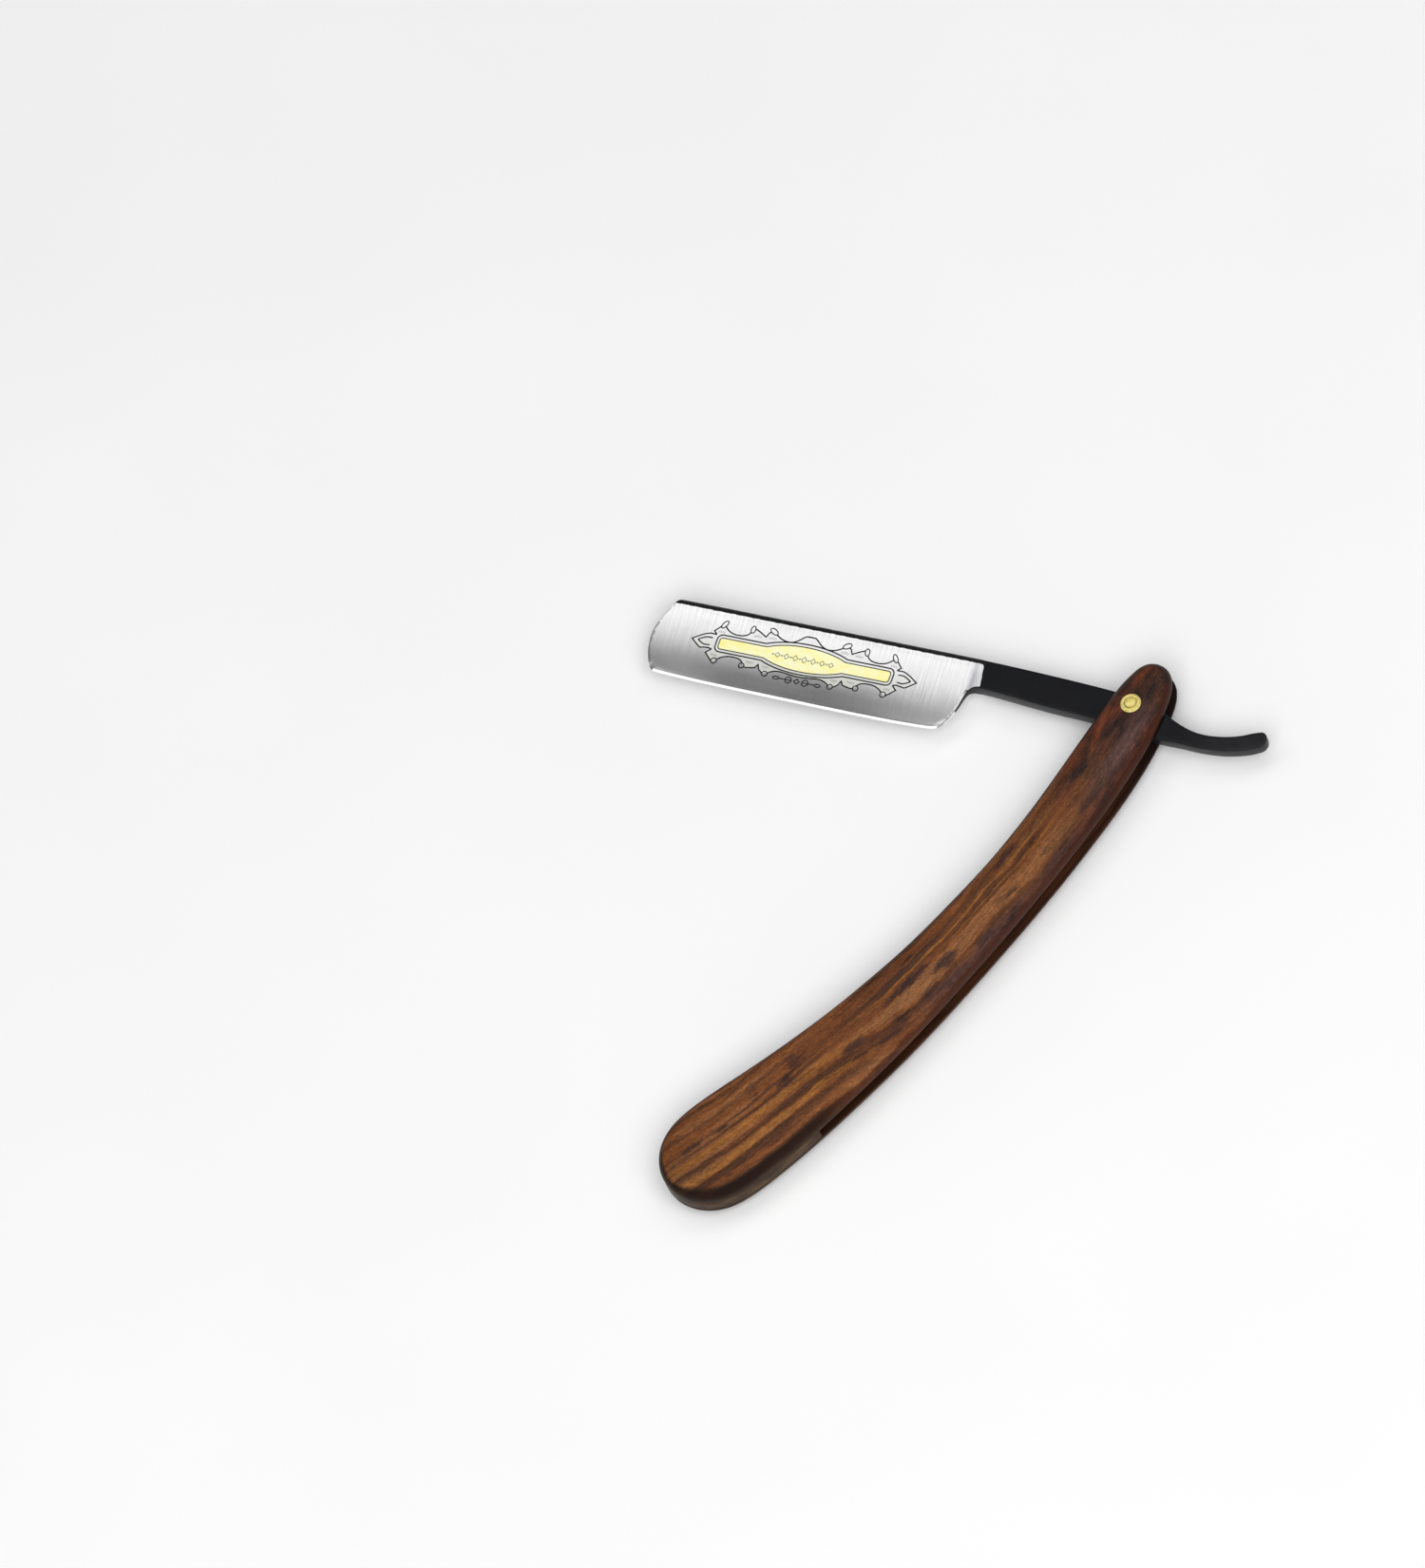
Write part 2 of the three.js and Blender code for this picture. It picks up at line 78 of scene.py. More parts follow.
BACK_LINE = [
    (-33.90, 1.00), (-33.65, -0.10), (-33.15, -0.80), (-32.30, -1.10), (-30.10, -0.40),
    (-27.70, 0.75), (-23.90, 1.90), (-19.80, 2.45), (-16.10, 2.25), (-12.00, 1.10),
    (-9.00, -0.15), (-5.00, -1.85), (0.00, -3.20), (6.90, -3.90), (15.00, -4.35),
    (24.50, -4.70), (33.00, -4.95), (40.30, -5.08), (46.00, -5.10), (80.00, -5.10),
    (116.60, -5.10), (117.80, -5.04), (118.60, -4.82), (119.20, -4.35), (119.75, -3.55),
    (120.45, -2.40), (121.30, -0.87), (122.12, 0.76), (122.70, 2.45), (122.98, 4.00), (123.05, 5.20),
]
FRONT_LINE = [
    (-33.90, 1.00), (-33.65, 2.05), (-33.05, 2.75), (-32.05, 3.35), (-30.60, 4.10),
    (-27.30, 5.15), (-23.50, 5.90), (-18.50, 6.20), (-13.60, 6.05), (-8.50, 6.00),
    (-5.00, 5.60), (0.00, 4.90), (9.50, 4.05), (21.50, 3.50), (31.00, 2.75),
    (36.50, 2.35), (39.30, 2.28), (40.70, 2.55), (41.50, 3.10), (42.02, 4.10),
    (42.38, 5.70), (42.72, 7.60), (43.26, 9.55), (43.95, 11.30), (44.60, 12.50),
    (45.25, 13.40), (46.10, 13.98), (47.40, 14.33), (50.00, 14.56), (54.00, 14.72),
    (59.00, 14.82), (66.00, 14.86), (73.00, 14.84), (82.00, 14.76), (92.00, 14.68),
    (102.00, 14.56), (109.00, 14.40), (114.00, 14.22), (117.40, 14.06), (118.90, 13.94),
    (119.60, 13.72), (120.25, 13.20), (121.05, 12.15), (121.80, 10.60), (122.45, 8.75),
    (122.88, 6.80), (123.05, 5.20),
]
GRIND = [
    (-5.10, 3.55), (-4.92, 4.02), (-4.60, 4.25), (-3.75, 4.25), (-3.10, 3.72), (-2.00, 3.08),
    (0.00, 2.32), (2.00, 1.76), (4.00, 1.33), (6.00, 1.00), (8.00, 0.77), (10.00, 0.59),
    (12.00, 0.46), (13.40, 0.38), (14.86, 0.32),
]
TANG_T = [(-34.0, 2.8), (-10.0, 3.0), (-4.5, 3.3), (6.0, 3.3), (36.0, 3.5), (42.0, 3.5)]
SHOULDER_T0, SHOULDER_T1 = 39.2, 42.4
COAT_N = -3.80          # the black coating on the spine ends here

# --------------------------------------------------------------- small helpers


def smooth(a, b, x):
    s = np.clip((np.asarray(x, float) - a) / (b - a), 0, 1)
    return s * s * (3 - 2 * s)


def lerp(a, b, s):
    return a + (b - a) * s


def table(rows):
    """Monotone cubic through a table of (x, y), for arrays."""
    xs = np.array([r[0] for r in rows], float)
    ys = np.array([r[1] for r in rows], float)
    h = np.diff(xs)
    d = np.diff(ys) / h
    m = np.zeros(len(xs))
    m[0], m[-1] = d[0], d[-1]
    for i in range(1, len(xs) - 1):
        if d[i - 1] * d[i] > 0:
            w1, w2 = 2 * h[i] + h[i - 1], h[i] + 2 * h[i - 1]
            m[i] = (w1 + w2) / (w1 / d[i - 1] + w2 / d[i])

    def at(x):
        x = np.clip(np.asarray(x, float), xs[0], xs[-1])
        i = np.clip(np.searchsorted(xs, x, side="right") - 1, 0, len(h) - 1)
        s = (x - xs[i]) / h[i]
        s2, s3 = s * s, s * s * s
        return (
            (2 * s3 - 3 * s2 + 1) * ys[i]
            + (s3 - 2 * s2 + s) * h[i] * m[i]
            + (-2 * s3 + 3 * s2) * ys[i + 1]
            + (s3 - s2) * h[i] * m[i + 1]
        )

    return at


def catmull(points, closed=False, per=40):
    """Dense centripetal Catmull-Rom line through points."""
    p = np.array(points, float)
    n = len(p)
    out = []
    for i in range(n if closed else n - 1):
        p1, p2 = p[i], p[(i + 1) % n]
        p0 = p[i - 1] if (closed or i > 0) else 2 * p1 - p2
        p3 = p[(i + 2) % n] if (closed or i < n - 2) else 2 * p2 - p1
        d0 = max(np.linalg.norm(p1 - p0) ** 0.5, 1e-6)
        d1 = max(np.linalg.norm(p2 - p1) ** 0.5, 1e-6)
        d2 = max(np.linalg.norm(p3 - p2) ** 0.5, 1e-6)
        t1 = ((p1 - p0) / d0 - (p2 - p0) / (d0 + d1) + (p2 - p1) / d1) * d1
        t2 = ((p2 - p1) / d1 - (p3 - p1) / (d1 + d2) + (p3 - p2) / d2) * d1
        s = np.linspace(0, 1, per, endpoint=False)[:, None]
        out.append(
            p1 + t1 * s + (-3 * p1 + 3 * p2 - 2 * t1 - t2) * s**2
            + (2 * p1 - 2 * p2 + t1 + t2) * s**3
        )
    if not closed:
        out.append(p[-1][None, :])
    return np.vstack(out)


def resample(line, longest, turn_deg, closed=True, shortest=0.05):
    """Keeps the points of a dense line so that no step is longer than longest
    or turns by more than turn_deg."""
    n = len(line)
    nxt = np.roll(line, -1, axis=0) if closed else np.vstack([line[1:], line[-1:] * 2 - line[-2:-1]])
    ang = np.unwrap(np.arctan2(*(nxt - line).T[::-1]))
    keep = [0]
    run = 0.0
    for i in range(1, n):
        step = np.linalg.norm(line[i] - line[i - 1])
        run += step
        if run < shortest:
            continue
        if run + step > longest or abs(ang[i] - ang[keep[-1]]) > math.radians(turn_deg):
            keep.append(i)
            run = 0.0
    if not closed and keep[-1] != n - 1:
        keep.append(n - 1)
    if closed and np.linalg.norm(line[keep[-1]] - line[0]) < shortest:
        keep.pop()
    return line[keep]


def area2(loop):
    x, y = loop[:, 0], loop[:, 1]
    return float(np.sum(x * np.roll(y, -1) - np.roll(x, -1) * y))


def inward(loop):
    """Unit normals into a closed loop."""
    a = loop - np.roll(loop, 1, axis=0)
    b = np.roll(loop, -1, axis=0) - loop
    a /= np.linalg.norm(a, axis=1)[:, None]
    b /= np.linalg.norm(b, axis=1)[:, None]
    t = a + b
    t /= np.linalg.norm(t, axis=1)[:, None]
    nrm = np.c_[-t[:, 1], t[:, 0]]
    return nrm if area2(loop) > 0 else -nrm


def inside(pts, loop):
    """True for each point in the closed loop."""
    pts = np.asarray(pts, float)
    res = np.zeros(len(pts), bool)
    x0, y0 = loop[:, 0], loop[:, 1]
    x1, y1 = np.roll(x0, -1), np.roll(y0, -1)
    for k in range(0, len(pts), 2000):
        px, py = pts[k:k + 2000, 0][:, None], pts[k:k + 2000, 1][:, None]
        cross = (y0 > py) != (y1 > py)
        dy = np.where(np.abs(y1 - y0) < 1e-12, 1e-12, y1 - y0)
        hit = cross & (px < (x1 - x0) * (py - y0) / dy + x0)
        res[k:k + 2000] = hit.sum(1) % 2 == 1
    return res


def distance(pts, loop, closed=True):
    """Distance of each point from the loop's line."""
    pts = np.asarray(pts, float)
    a = loop if closed else loop[:-1]
    b = np.roll(loop, -1, axis=0) if closed else loop[1:]
    ab = b - a
    l2 = np.maximum((ab**2).sum(1), 1e-18)
    out = np.empty(len(pts))
    for k in range(0, len(pts), 1500):
        p = pts[k:k + 1500]
        s = np.clip(((p[:, None, :] - a) * ab).sum(2) / l2, 0, 1)
        q = a + s[..., None] * ab
        out[k:k + 1500] = np.sqrt(((p[:, None, :] - q) ** 2).sum(2).min(1))
    return out


def wobble(x, seed, octaves=3):
    """A fixed smooth ripple of about unit height, from sines."""
    rng = np.random.default_rng(seed)
    x = np.asarray(x, float)
    out = np.zeros_like(x)
    for k in range(octaves):
        f = (1.0 + rng.random()) * 1.9**k
        out += np.sin(x * f + rng.random() * 6.28) * 0.62**k
    return out


def triangulate(loops, points, lines=()):
    """Triangles of the area inside loops[0] and outside the other loops, over
    the loops' own points, the extra points and the extra lines, which stay
    edges.  Returns points (the loops' come first, in order) and triangles."""
    verts = [p for lp in loops for p in lp]
    edges = []
    base = 0
    for lp in loops:
        edges += [(base + i, base + (i + 1) % len(lp)) for i in range(len(lp))]
        base += len(lp)
    for ln in lines:
        edges += [(base + i, base + i + 1) for i in range(len(ln) - 1)]
        verts += list(ln)
        base += len(ln)
    verts += list(points)
    src = np.array([(float(p[0]), float(p[1])) for p in verts])
    ov, _, of, orig, _, _ = delaunay_2d_cdt([Vector(p) for p in src.tolist()], edges, [], 0, 1e-6)
    new = np.array([(v[0], v[1]) for v in ov])
    # the loops' points keep their numbers; the rest follow
    count = sum(len(lp) for lp in loops)
    number = [-1] * len(new)
    extra = []
    for i, o in enumerate(orig):
        first = [j for j in o if j < count]
        if first:
            number[i] = first[0]
        else:
            number[i] = count + len(extra)
            extra.append(new[i])
    out = np.vstack([src[:count], np.array(extra).reshape(-1, 2)])
    tris = np.array([[number[j] for j in f] for f in of if len(f) == 3])
    c = out[tris].mean(1)
    ok = inside(c, np.asarray(loops[0], float))
    for hole in loops[1:]:
        ok &= ~inside(c, np.asarray(hole, float))
    tris = tris[ok]
    a, b, d = out[tris[:, 0]], out[tris[:, 1]], out[tris[:, 2]]
    turn = (b[:, 0] - a[:, 0]) * (d[:, 1] - a[:, 1]) - (b[:, 1] - a[:, 1]) * (d[:, 0] - a[:, 0])
    tris[turn < 0] = tris[turn < 0][:, ::-1]
    return out, tris[np.abs(turn) > 1e-9]


def grid(loop, dx, dy, gap, rows=None, holes=()):
    """Staggered points inside a loop, at least gap from it."""
    lo, hi = loop.min(0), loop.max(0)
    ys = rows if rows is not None else np.arange(lo[1] + dy, hi[1], dy)
    pts = []
    for k, y in enumerate(ys):
        xs = np.arange(lo[0] + dx * (0.5 if k % 2 else 1.0), hi[0], dx)
        pts.append(np.c_[xs, np.full(len(xs), y)])
    pts = np.vstack(pts)
    pts = pts[inside(pts, loop)]
    pts = pts[distance(pts, loop) > gap]
    for h in holes:
        pts = pts[~inside(pts, h)]
        pts = pts[distance(pts, h) > gap]
    return pts


def circle(cx, cy, r, n):
    a = np.arange(n) * 2 * math.pi / n
    return np.c_[cx + r * np.cos(a), cy + r * np.sin(a)]


def make_mesh(name, verts, faces, mats, index=None, attrs=None, sharp=33.0, turn=False):
    """A mesh object from millimetres.  turn puts the blade's own t, n frame
    into the row frame."""
    v = np.asarray(verts, float)
    if turn:
        c, s = math.cos(BLADE_ANGLE), math.sin(BLADE_ANGLE)
        v = np.c_[v[:, 0] * c - v[:, 1] * s, v[:, 0] * s + v[:, 1] * c, v[:, 2]]
    me = bpy.data.meshes.new(name)
    me.from_pydata((v / 1000.0).tolist(), [], [tuple(int(i) for i in f) for f in faces])
    for m in mats:
        me.materials.append(m)
    if index is not None:
        me.polygons.foreach_set("material_index", np.asarray(index, np.int32))
    for key, val in (attrs or {}).items():
        me.attributes.new(key, "FLOAT", "POINT").data.foreach_set("value", np.asarray(val, np.float32))
    bm = bmesh.new()
    bm.from_mesh(me)
    bmesh.ops.recalc_face_normals(bm, faces=bm.faces)
    bm.to_mesh(me)
    bm.free()
    me.polygons.foreach_set("use_smooth", [True] * len(me.polygons))
    me.set_sharp_from_angle(angle=math.radians(sharp))
    me.update()
    ob = bpy.data.objects.new(name, me)
    scene.collection.objects.link(ob)
    return ob


class Shell:
    """Collects rings and faces of one closed surface."""

    def __init__(self):
        self.v, self.f, self.m, self.a = [], [], [], []

    def add(self, pts2, z, attr=0.0):
        base = len(self.v)
        z = np.broadcast_to(z, (len(pts2),))
        attr = np.broadcast_to(attr, (len(pts2),))
        self.v += [(p[0], p[1], zz) for p, zz in zip(pts2, z)]
        self.a += list(attr)
        return base

    def band(self, a, b, n, flip=False, mat=0):
        for i in range(n):
            j = (i + 1) % n
            q = (a + i, a + j, b + j, b + i)
            self.f.append(q[::-1] if flip else q)
            self.m.append(mat if np.isscalar(mat) else int(mat[i]))

    def tris(self, tris, number, mats=0, flip=False):
        for k, t in enumerate(tris):
            q = tuple(number[i] for i in t)
            self.f.append(q[::-1] if flip else q)
            self.m.append(mats if np.isscalar(mats) else int(mats[k]))


# --------------------------------------------------------------- node graphs


def lin(r, g, b):
    """Linear colour from 0-255 values."""
    def one(c):
        c /= 255.0
        return c / 12.92 if c <= 0.04045 else ((c + 0.055) / 1.055) ** 2.4
    return (one(r), one(g), one(b), 1.0)


class Graph:
    """A material's node tree, built from short calls."""

    def __init__(self, name):
        self.mat = bpy.data.materials.new(name)
        self.mat.use_nodes = True
        self.nt = self.mat.node_tree
        self.nt.nodes.clear()
        self.out = self.nt.nodes.new("ShaderNodeOutputMaterial")
        self.bsdf = self.nt.nodes.new("ShaderNodeBsdfPrincipled")
        self.nt.links.new(self.bsdf.outputs[0], self.out.inputs["Surface"])

    def put(self, socket, value):
        if hasattr(value, "links"):
            self.nt.links.new(value, socket)
        elif value is not None:
            socket.default_value = value

    def shader(self, **values):
        for key, value in values.items():
            self.put(self.bsdf.inputs[key.replace("_", " ")], value)
        return self.mat

    def math(self, op, a, b=None, c=None, clamp=False):
        n = self.nt.nodes.new("ShaderNodeMath")
        n.operation = op
        n.use_clamp = clamp
        for s, v in zip(n.inputs, (a, b, c)):
            self.put(s, v)
        return n.outputs[0]

    def add(self, a, b):
        return self.math("ADD", a, b)

    def sub(self, a, b):
        return self.math("SUBTRACT", a, b)

    def mul(self, a, b):
        return self.math("MULTIPLY", a, b)

    def object_mm(self, turn=False):
        """x, y, z sockets in millimetres of the row frame, or of the blade's
        own t, n, z frame."""
        tc = self.nt.nodes.new("ShaderNodeTexCoord")
        mp = self.nt.nodes.new("ShaderNodeMapping")
        mp.vector_type = "POINT"
        mp.inputs["Scale"].default_value = (1000, 1000, 1000)
        if turn:
            mp.inputs["Rotation"].default_value = (0, 0, -BLADE_ANGLE)
        self.nt.links.new(tc.outputs["Object"], mp.inputs["Vector"])
        sp = self.nt.nodes.new("ShaderNodeSeparateXYZ")
        self.nt.links.new(mp.outputs[0], sp.inputs[0])
        return sp.outputs[0], sp.outputs[1], sp.outputs[2]

    def vec(self, x, y, z):
        n = self.nt.nodes.new("ShaderNodeCombineXYZ")
        for s, v in zip(n.inputs, (x, y, z)):
            self.put(s, v)
        return n.outputs[0]

    def scaled(self, xyz, sx, sy, sz, ox=0.0, oy=0.0, oz=0.0):
        """The point (x*sx+ox, y*sy+oy, z*sz+oz)."""
        x, y, z = xyz
        return self.vec(self.math("MULTIPLY_ADD", x, sx, ox), self.math("MULTIPLY_ADD", y, sy, oy),
                        self.math("MULTIPLY_ADD", z, sz, oz))

    def noise(self, vec, scale=1.0, detail=2.0, rough=0.5, dist=0.0):
        n = self.nt.nodes.new("ShaderNodeTexNoise")
        n.noise_dimensions = "3D"
        self.put(n.inputs["Vector"], vec)
        for key, v in (("Scale", scale), ("Detail", detail), ("Roughness", rough), ("Distortion", dist)):
            self.put(n.inputs[key], v)
        return n.outputs[0]

    def voronoi(self, vec, scale=1.0, feature="F1", rand=1.0):
        n = self.nt.nodes.new("ShaderNodeTexVoronoi")
        n.feature = feature
        self.put(n.inputs["Vector"], vec)
        n.inputs["Scale"].default_value = scale
        n.inputs["Randomness"].default_value = rand
        return n.outputs["Distance"]

    def span(self, v, a, b, c=0.0, d=1.0, soft=True):
        n = self.nt.nodes.new("ShaderNodeMapRange")
        n.interpolation_type = "SMOOTHSTEP" if soft else "LINEAR"
        n.clamp = True
        for s, x in zip(n.inputs, (v, a, b, c, d)):
            self.put(s, x)
        return n.outputs[0]

    def mix(self, fac, a, b, blend="MIX"):
        n = self.nt.nodes.new("ShaderNodeMix")
        n.data_type = "RGBA"
        n.blend_type = blend
        n.clamp_factor = True
        self.put(n.inputs[0], fac)
        self.put(n.inputs[6], a)
        self.put(n.inputs[7], b)
        return n.outputs[2]

    def ramp(self, fac, stops):
        n = self.nt.nodes.new("ShaderNodeValToRGB")
        el = n.color_ramp.elements
        el[0].position, el[0].color = stops[0]
        el[1].position, el[1].color = stops[-1]
        for pos, col in stops[1:-1]:
            e = el.new(pos)
            e.color = col
        self.put(n.inputs[0], fac)
        return n.outputs[0]

    def tone(self, colour, k):
        """colour times k, a number socket."""
        n = self.nt.nodes.new("ShaderNodeVectorMath")
        n.operation = "SCALE"
        self.put(n.inputs[0], colour)
        self.put(n.inputs["Scale"], k)
        return n.outputs[0]

    def bump(self, height, mm, strength=1.0, normal=None):
        """A bump where a height of 1 stands mm millimetres high."""
        n = self.nt.nodes.new("ShaderNodeBump")
        n.inputs["Strength"].default_value = strength
        n.inputs["Distance"].default_value = mm / 1000.0
        self.put(n.inputs["Height"], height)
        if normal is not None:
            self.put(n.inputs["Normal"], normal)
        return n.outputs[0]

    def attr(self, name):
        n = self.nt.nodes.new("ShaderNodeAttribute")
        n.attribute_name = name
        return n.outputs["Fac"]


# ----------------------------------------------------------------- materials


def rosewood(name, shift, part):
    """Figured rosewood whose grain follows the handle.  edge is the distance
    in from the rim, inner is 1 on the faces in the slot.  part is 1 for the
    upper scale, -1 for the lower one and 0 for the wedge."""
    g = Graph(name)
    x, y, z = g.object_mm()
    # w runs across the handle from its middle line, hollow side to bowed side
    yc = g.math("MULTIPLY_ADD", g.mul(x, x), -0.001617, g.math("MULTIPLY_ADD", x, 0.2332, 0.9))
    w = g.sub(y, yc)
    zz = g.sub(z, MID_Z)

    def centred(v, amount, offset=0.0):
        """A 0-1 noise turned into -amount..amount."""
        return g.math("MULTIPLY_ADD", v, 2.0 * amount, offset - amount)

    far = g.noise(g.scaled((x, w, zz), 0.028, 0.09, 0.10, shift), 1.0, 2.0, 0.5)
    mid = g.noise(g.scaled((x, w, zz), 0.11, 0.28, 0.30, shift + 7.3), 1.0, 2.0, 0.55)
    fine_w = g.noise(g.scaled((x, w, zz), 0.38, 1.0, 1.0, shift + 17.3), 1.0, 2.0, 0.55)
    drift = g.add(g.add(centred(far, 2.3), centred(mid, 0.85)), centred(fine_w, 0.22))
    # the figure runs across the handle ahead of the wide end
    flow = g.mul(g.span(x, 84.0, 121.0, 0.0, 4.6), g.span(w, -4.0, 3.0))
    v = g.add(g.add(w, drift), flow)
    p = (x, v, zz)

    def band(centre, half, soft):
        d = g.math("ABSOLUTE", g.sub(v, centre))
        return g.span(d, half, half + soft, 1.0, 0.0)

    def reach(x0, x1, soft=10.0):
        return g.mul(g.span(x, x0 - soft, x0 + soft), g.span(x, x1 - soft, x1 + soft, 1.0, 0.0))

    def blotch(cx, cw, rx, rw, soft=0.8):
        dx = g.math("MULTIPLY", g.sub(g.add(x, centred(fine_w, 1.6)), cx), 1.0 / rx)
        dw = g.math("MULTIPLY", g.sub(g.add(w, centred(fine_w, 1.1)), cw), 1.0 / rw)
        d = g.add(g.mul(dx, dx), g.mul(dw, dw))
        return g.span(d, 0.15, 1.0 + soft, 1.0, 0.0)

    gold, tan, amber, brown = lin(154, 100, 47), lin(138, 92, 58), lin(124, 74, 40), lin(105, 61, 34)
    umber, plum, black = lin(72, 47, 33), lin(60, 42, 42), lin(36, 26, 26)
    broad = g.noise(g.scaled(p, 0.016, 0.33, 0.28, shift, 3.1), 1.0, 2.0, 0.55)
    streak = g.noise(g.scaled(p, 0.035, 1.05, 0.8, shift + 11.0, 1.7), 1.0, 3.0, 0.60)
    patch = g.noise(g.scaled((x, w, zz), 0.12, 0.34, 0.35, shift + 23.0, 5.9), 1.0, 3.0, 0.55)
    fibre = g.noise(g.scaled(p, 0.30, 3.0, 3.0, shift + 31.0), 1.0, 3.0, 0.68)
    vein = g.noise(g.scaled(p, 0.055, 1.9, 1.5, shift + 41.0, 3.3), 1.0, 3.0, 0.6)
    grit = g.noise(g.scaled((x, w, zz), 1.5, 2.3, 2.3, shift + 5.0), 1.0, 4.0, 0.75)
    pore = g.voronoi(g.scaled(p, 0.8, 4.4, 4.4, shift + 3.0), 1.0)

    base = g.ramp(broad, [(0.30, umber), (0.42, brown), (0.52, amber), (0.64, tan), (0.76, amber)])
    broken = g.span(g.add(g.mul(mid, 0.5), g.mul(streak, 0.5)), 0.36, 0.56)
    if part == 1:
        wide = g.span(x, 92.0, 122.0)
        # the wide end: alternating gold and dark bands
        for c, half, soft, col, k in (
            (-10.9, 0.25, 0.9, umber, 0.65), (-8.9, 0.35, 0.9, amber, 0.65), (-7.0, 0.15, 0.8, umber, 0.60),
            (-5.2, 0.35, 0.9, amber, 0.70), (-3.0, 0.15, 0.6, umber, 0.75), (-1.8, 0.15, 0.6, amber, 0.60),
            (-0.2, 0.15, 0.9, umber, 0.80), (3.1, 0.80, 1.2, gold, 0.85), (7.1, 0.45, 0.9, umber, 0.80),
            (9.5, 0.45, 0.9, gold, 0.85), (11.9, 0.55, 1.0, umber, 0.78), (14.2, 0.55, 1.0, amber, 0.85),
        ):
            base = g.mix(g.mul(g.mul(band(c, half, soft), wide), g.span(broken, 0.0, 1.0, k * 0.55, k)), base, col)
        # the narrow half: thin gold lines, a pale middle and a dark near side
        for c, half, soft, x0, x1, col, k in (
            (-7.4, 0.4, 1.4, 12, 95, umber, 0.55), (-5.4, 0.5, 1.2, 30, 120, brown, 0.60), (-3.4, 0.6, 1.1, 14, 84, umber, 0.60),
            (-2.3, 0.08, 0.45, 34, 96, gold, 0.60), (-1.2, 0.15, 0.6, 34, 80, umber, 0.50), (-0.2, 0.10, 0.40, 28, 70, gold, 0.55),
            (2.8, 1.3, 1.3, 30, 92, tan, 0.65), (5.7, 0.15, 0.8, 30, 96, umber, 0.65), (7.6, 0.9, 1.2, 16, 88, plum, 0.85),
            (9.6, 0.3, 0.9, 30, 110, brown, 0.6),
        ):
            m = g.mul(band(c, half, soft), reach(x0, x1))
            base = g.mix(g.mul(m, g.span(broken, 0.0, 1.0, k * 0.6, k)), base, col)
        for cx, cw, rx, rw, k in (
            (76, 2.4, 3.6, 1.5, 0.80), (86, -0.5, 7.0, 0.9, 0.80), (84, 5.0, 3.0, 0.9, 0.60), (105, 1.9, 3.4, 1.1, 0.70),
            (122, -2.3, 2.4, 1.1, 0.60), (148, -2.9, 2.4, 0.8, 0.65), (20, -2.8, 3.0, 1.2, 0.70), (47, -4.6, 3.2, 1.1, 0.60),
            (24, 4.2, 4.6, 1.2, 0.55), (66, 5.6, 3.2, 0.9, 0.60), (97, 6.4, 5.0, 0.9, 0.55), (117, -6.0, 1.4, 2.4, 0.45),
            (103, 11.0, 4.0, 0.9, 0.55), (133, 8.4, 5.0, 1.0, 0.45),
        ):
            base = g.mix(g.mul(blotch(cx, cw, rx, rw), k), base, lin(40, 32, 36))
    else:
        base = g.mix(g.mul(g.span(streak, 0.48, 0.64), 0.75), base, umber)
        base = g.mix(g.mul(g.span(streak, 0.30, 0.42, 1.0, 0.0), 0.65), base, gold)
    inky = g.mul(g.span(patch, 0.57, 0.70), g.span(streak, 0.38, 0.58))
    base = g.mix(g.mul(inky, 0.75), base, black)
    # dark and reddish towards the pivot, with a painted grey highlight on the crown
    near = g.span(x, 6.0, 46.0, 1.0, 0.0)
    base = g.mix(g.mul(near, 0.88), base, g.ramp(patch, [(0.36, lin(104, 54, 36)), (0.46, lin(76, 41, 32)), (0.54, lin(50, 32, 31)), (0.64, lin(30, 25, 27))]))
    painted_highlight = g.mul(g.mul(g.span(w, 0.2, 2.6), g.span(w, 4.2, 6.6, 1.0, 0.0)), g.mul(g.span(x, -6, 3), g.span(x, 14, 30, 1.0, 0.0)))
    base = g.mix(g.mul(painted_highlight, g.span(patch, 0.35, 0.6, 0.75, 0.35)), base, lin(88, 70, 68))
    # veins, fibres, grit and pores
    base = g.tone(base, g.span(vein, 0.30, 0.70, 0.72, 1.16, soft=False))
    base = g.tone(base, g.span(fibre, 0.30, 0.70, 0.70, 1.24, soft=False))
    base = g.tone(base, g.span(grit, 0.30, 0.70, 0.62, 1.36, soft=False))
    speck = g.noise(g.scaled((x, w, zz), 0.7, 1.1, 1.1, shift + 77.0), 1.0, 2.0, 0.6)
    base = g.tone(base, g.span(speck, 0.32, 0.68, 0.86, 1.12, soft=False))
    holes = g.mul(g.span(pore, 0.08, 0.26, 1.0, 0.0), g.span(fibre, 0.35, 0.6, 1.0, 0.3))
    base = g.mix(g.mul(holes, 0.45), base, lin(30, 18, 14))
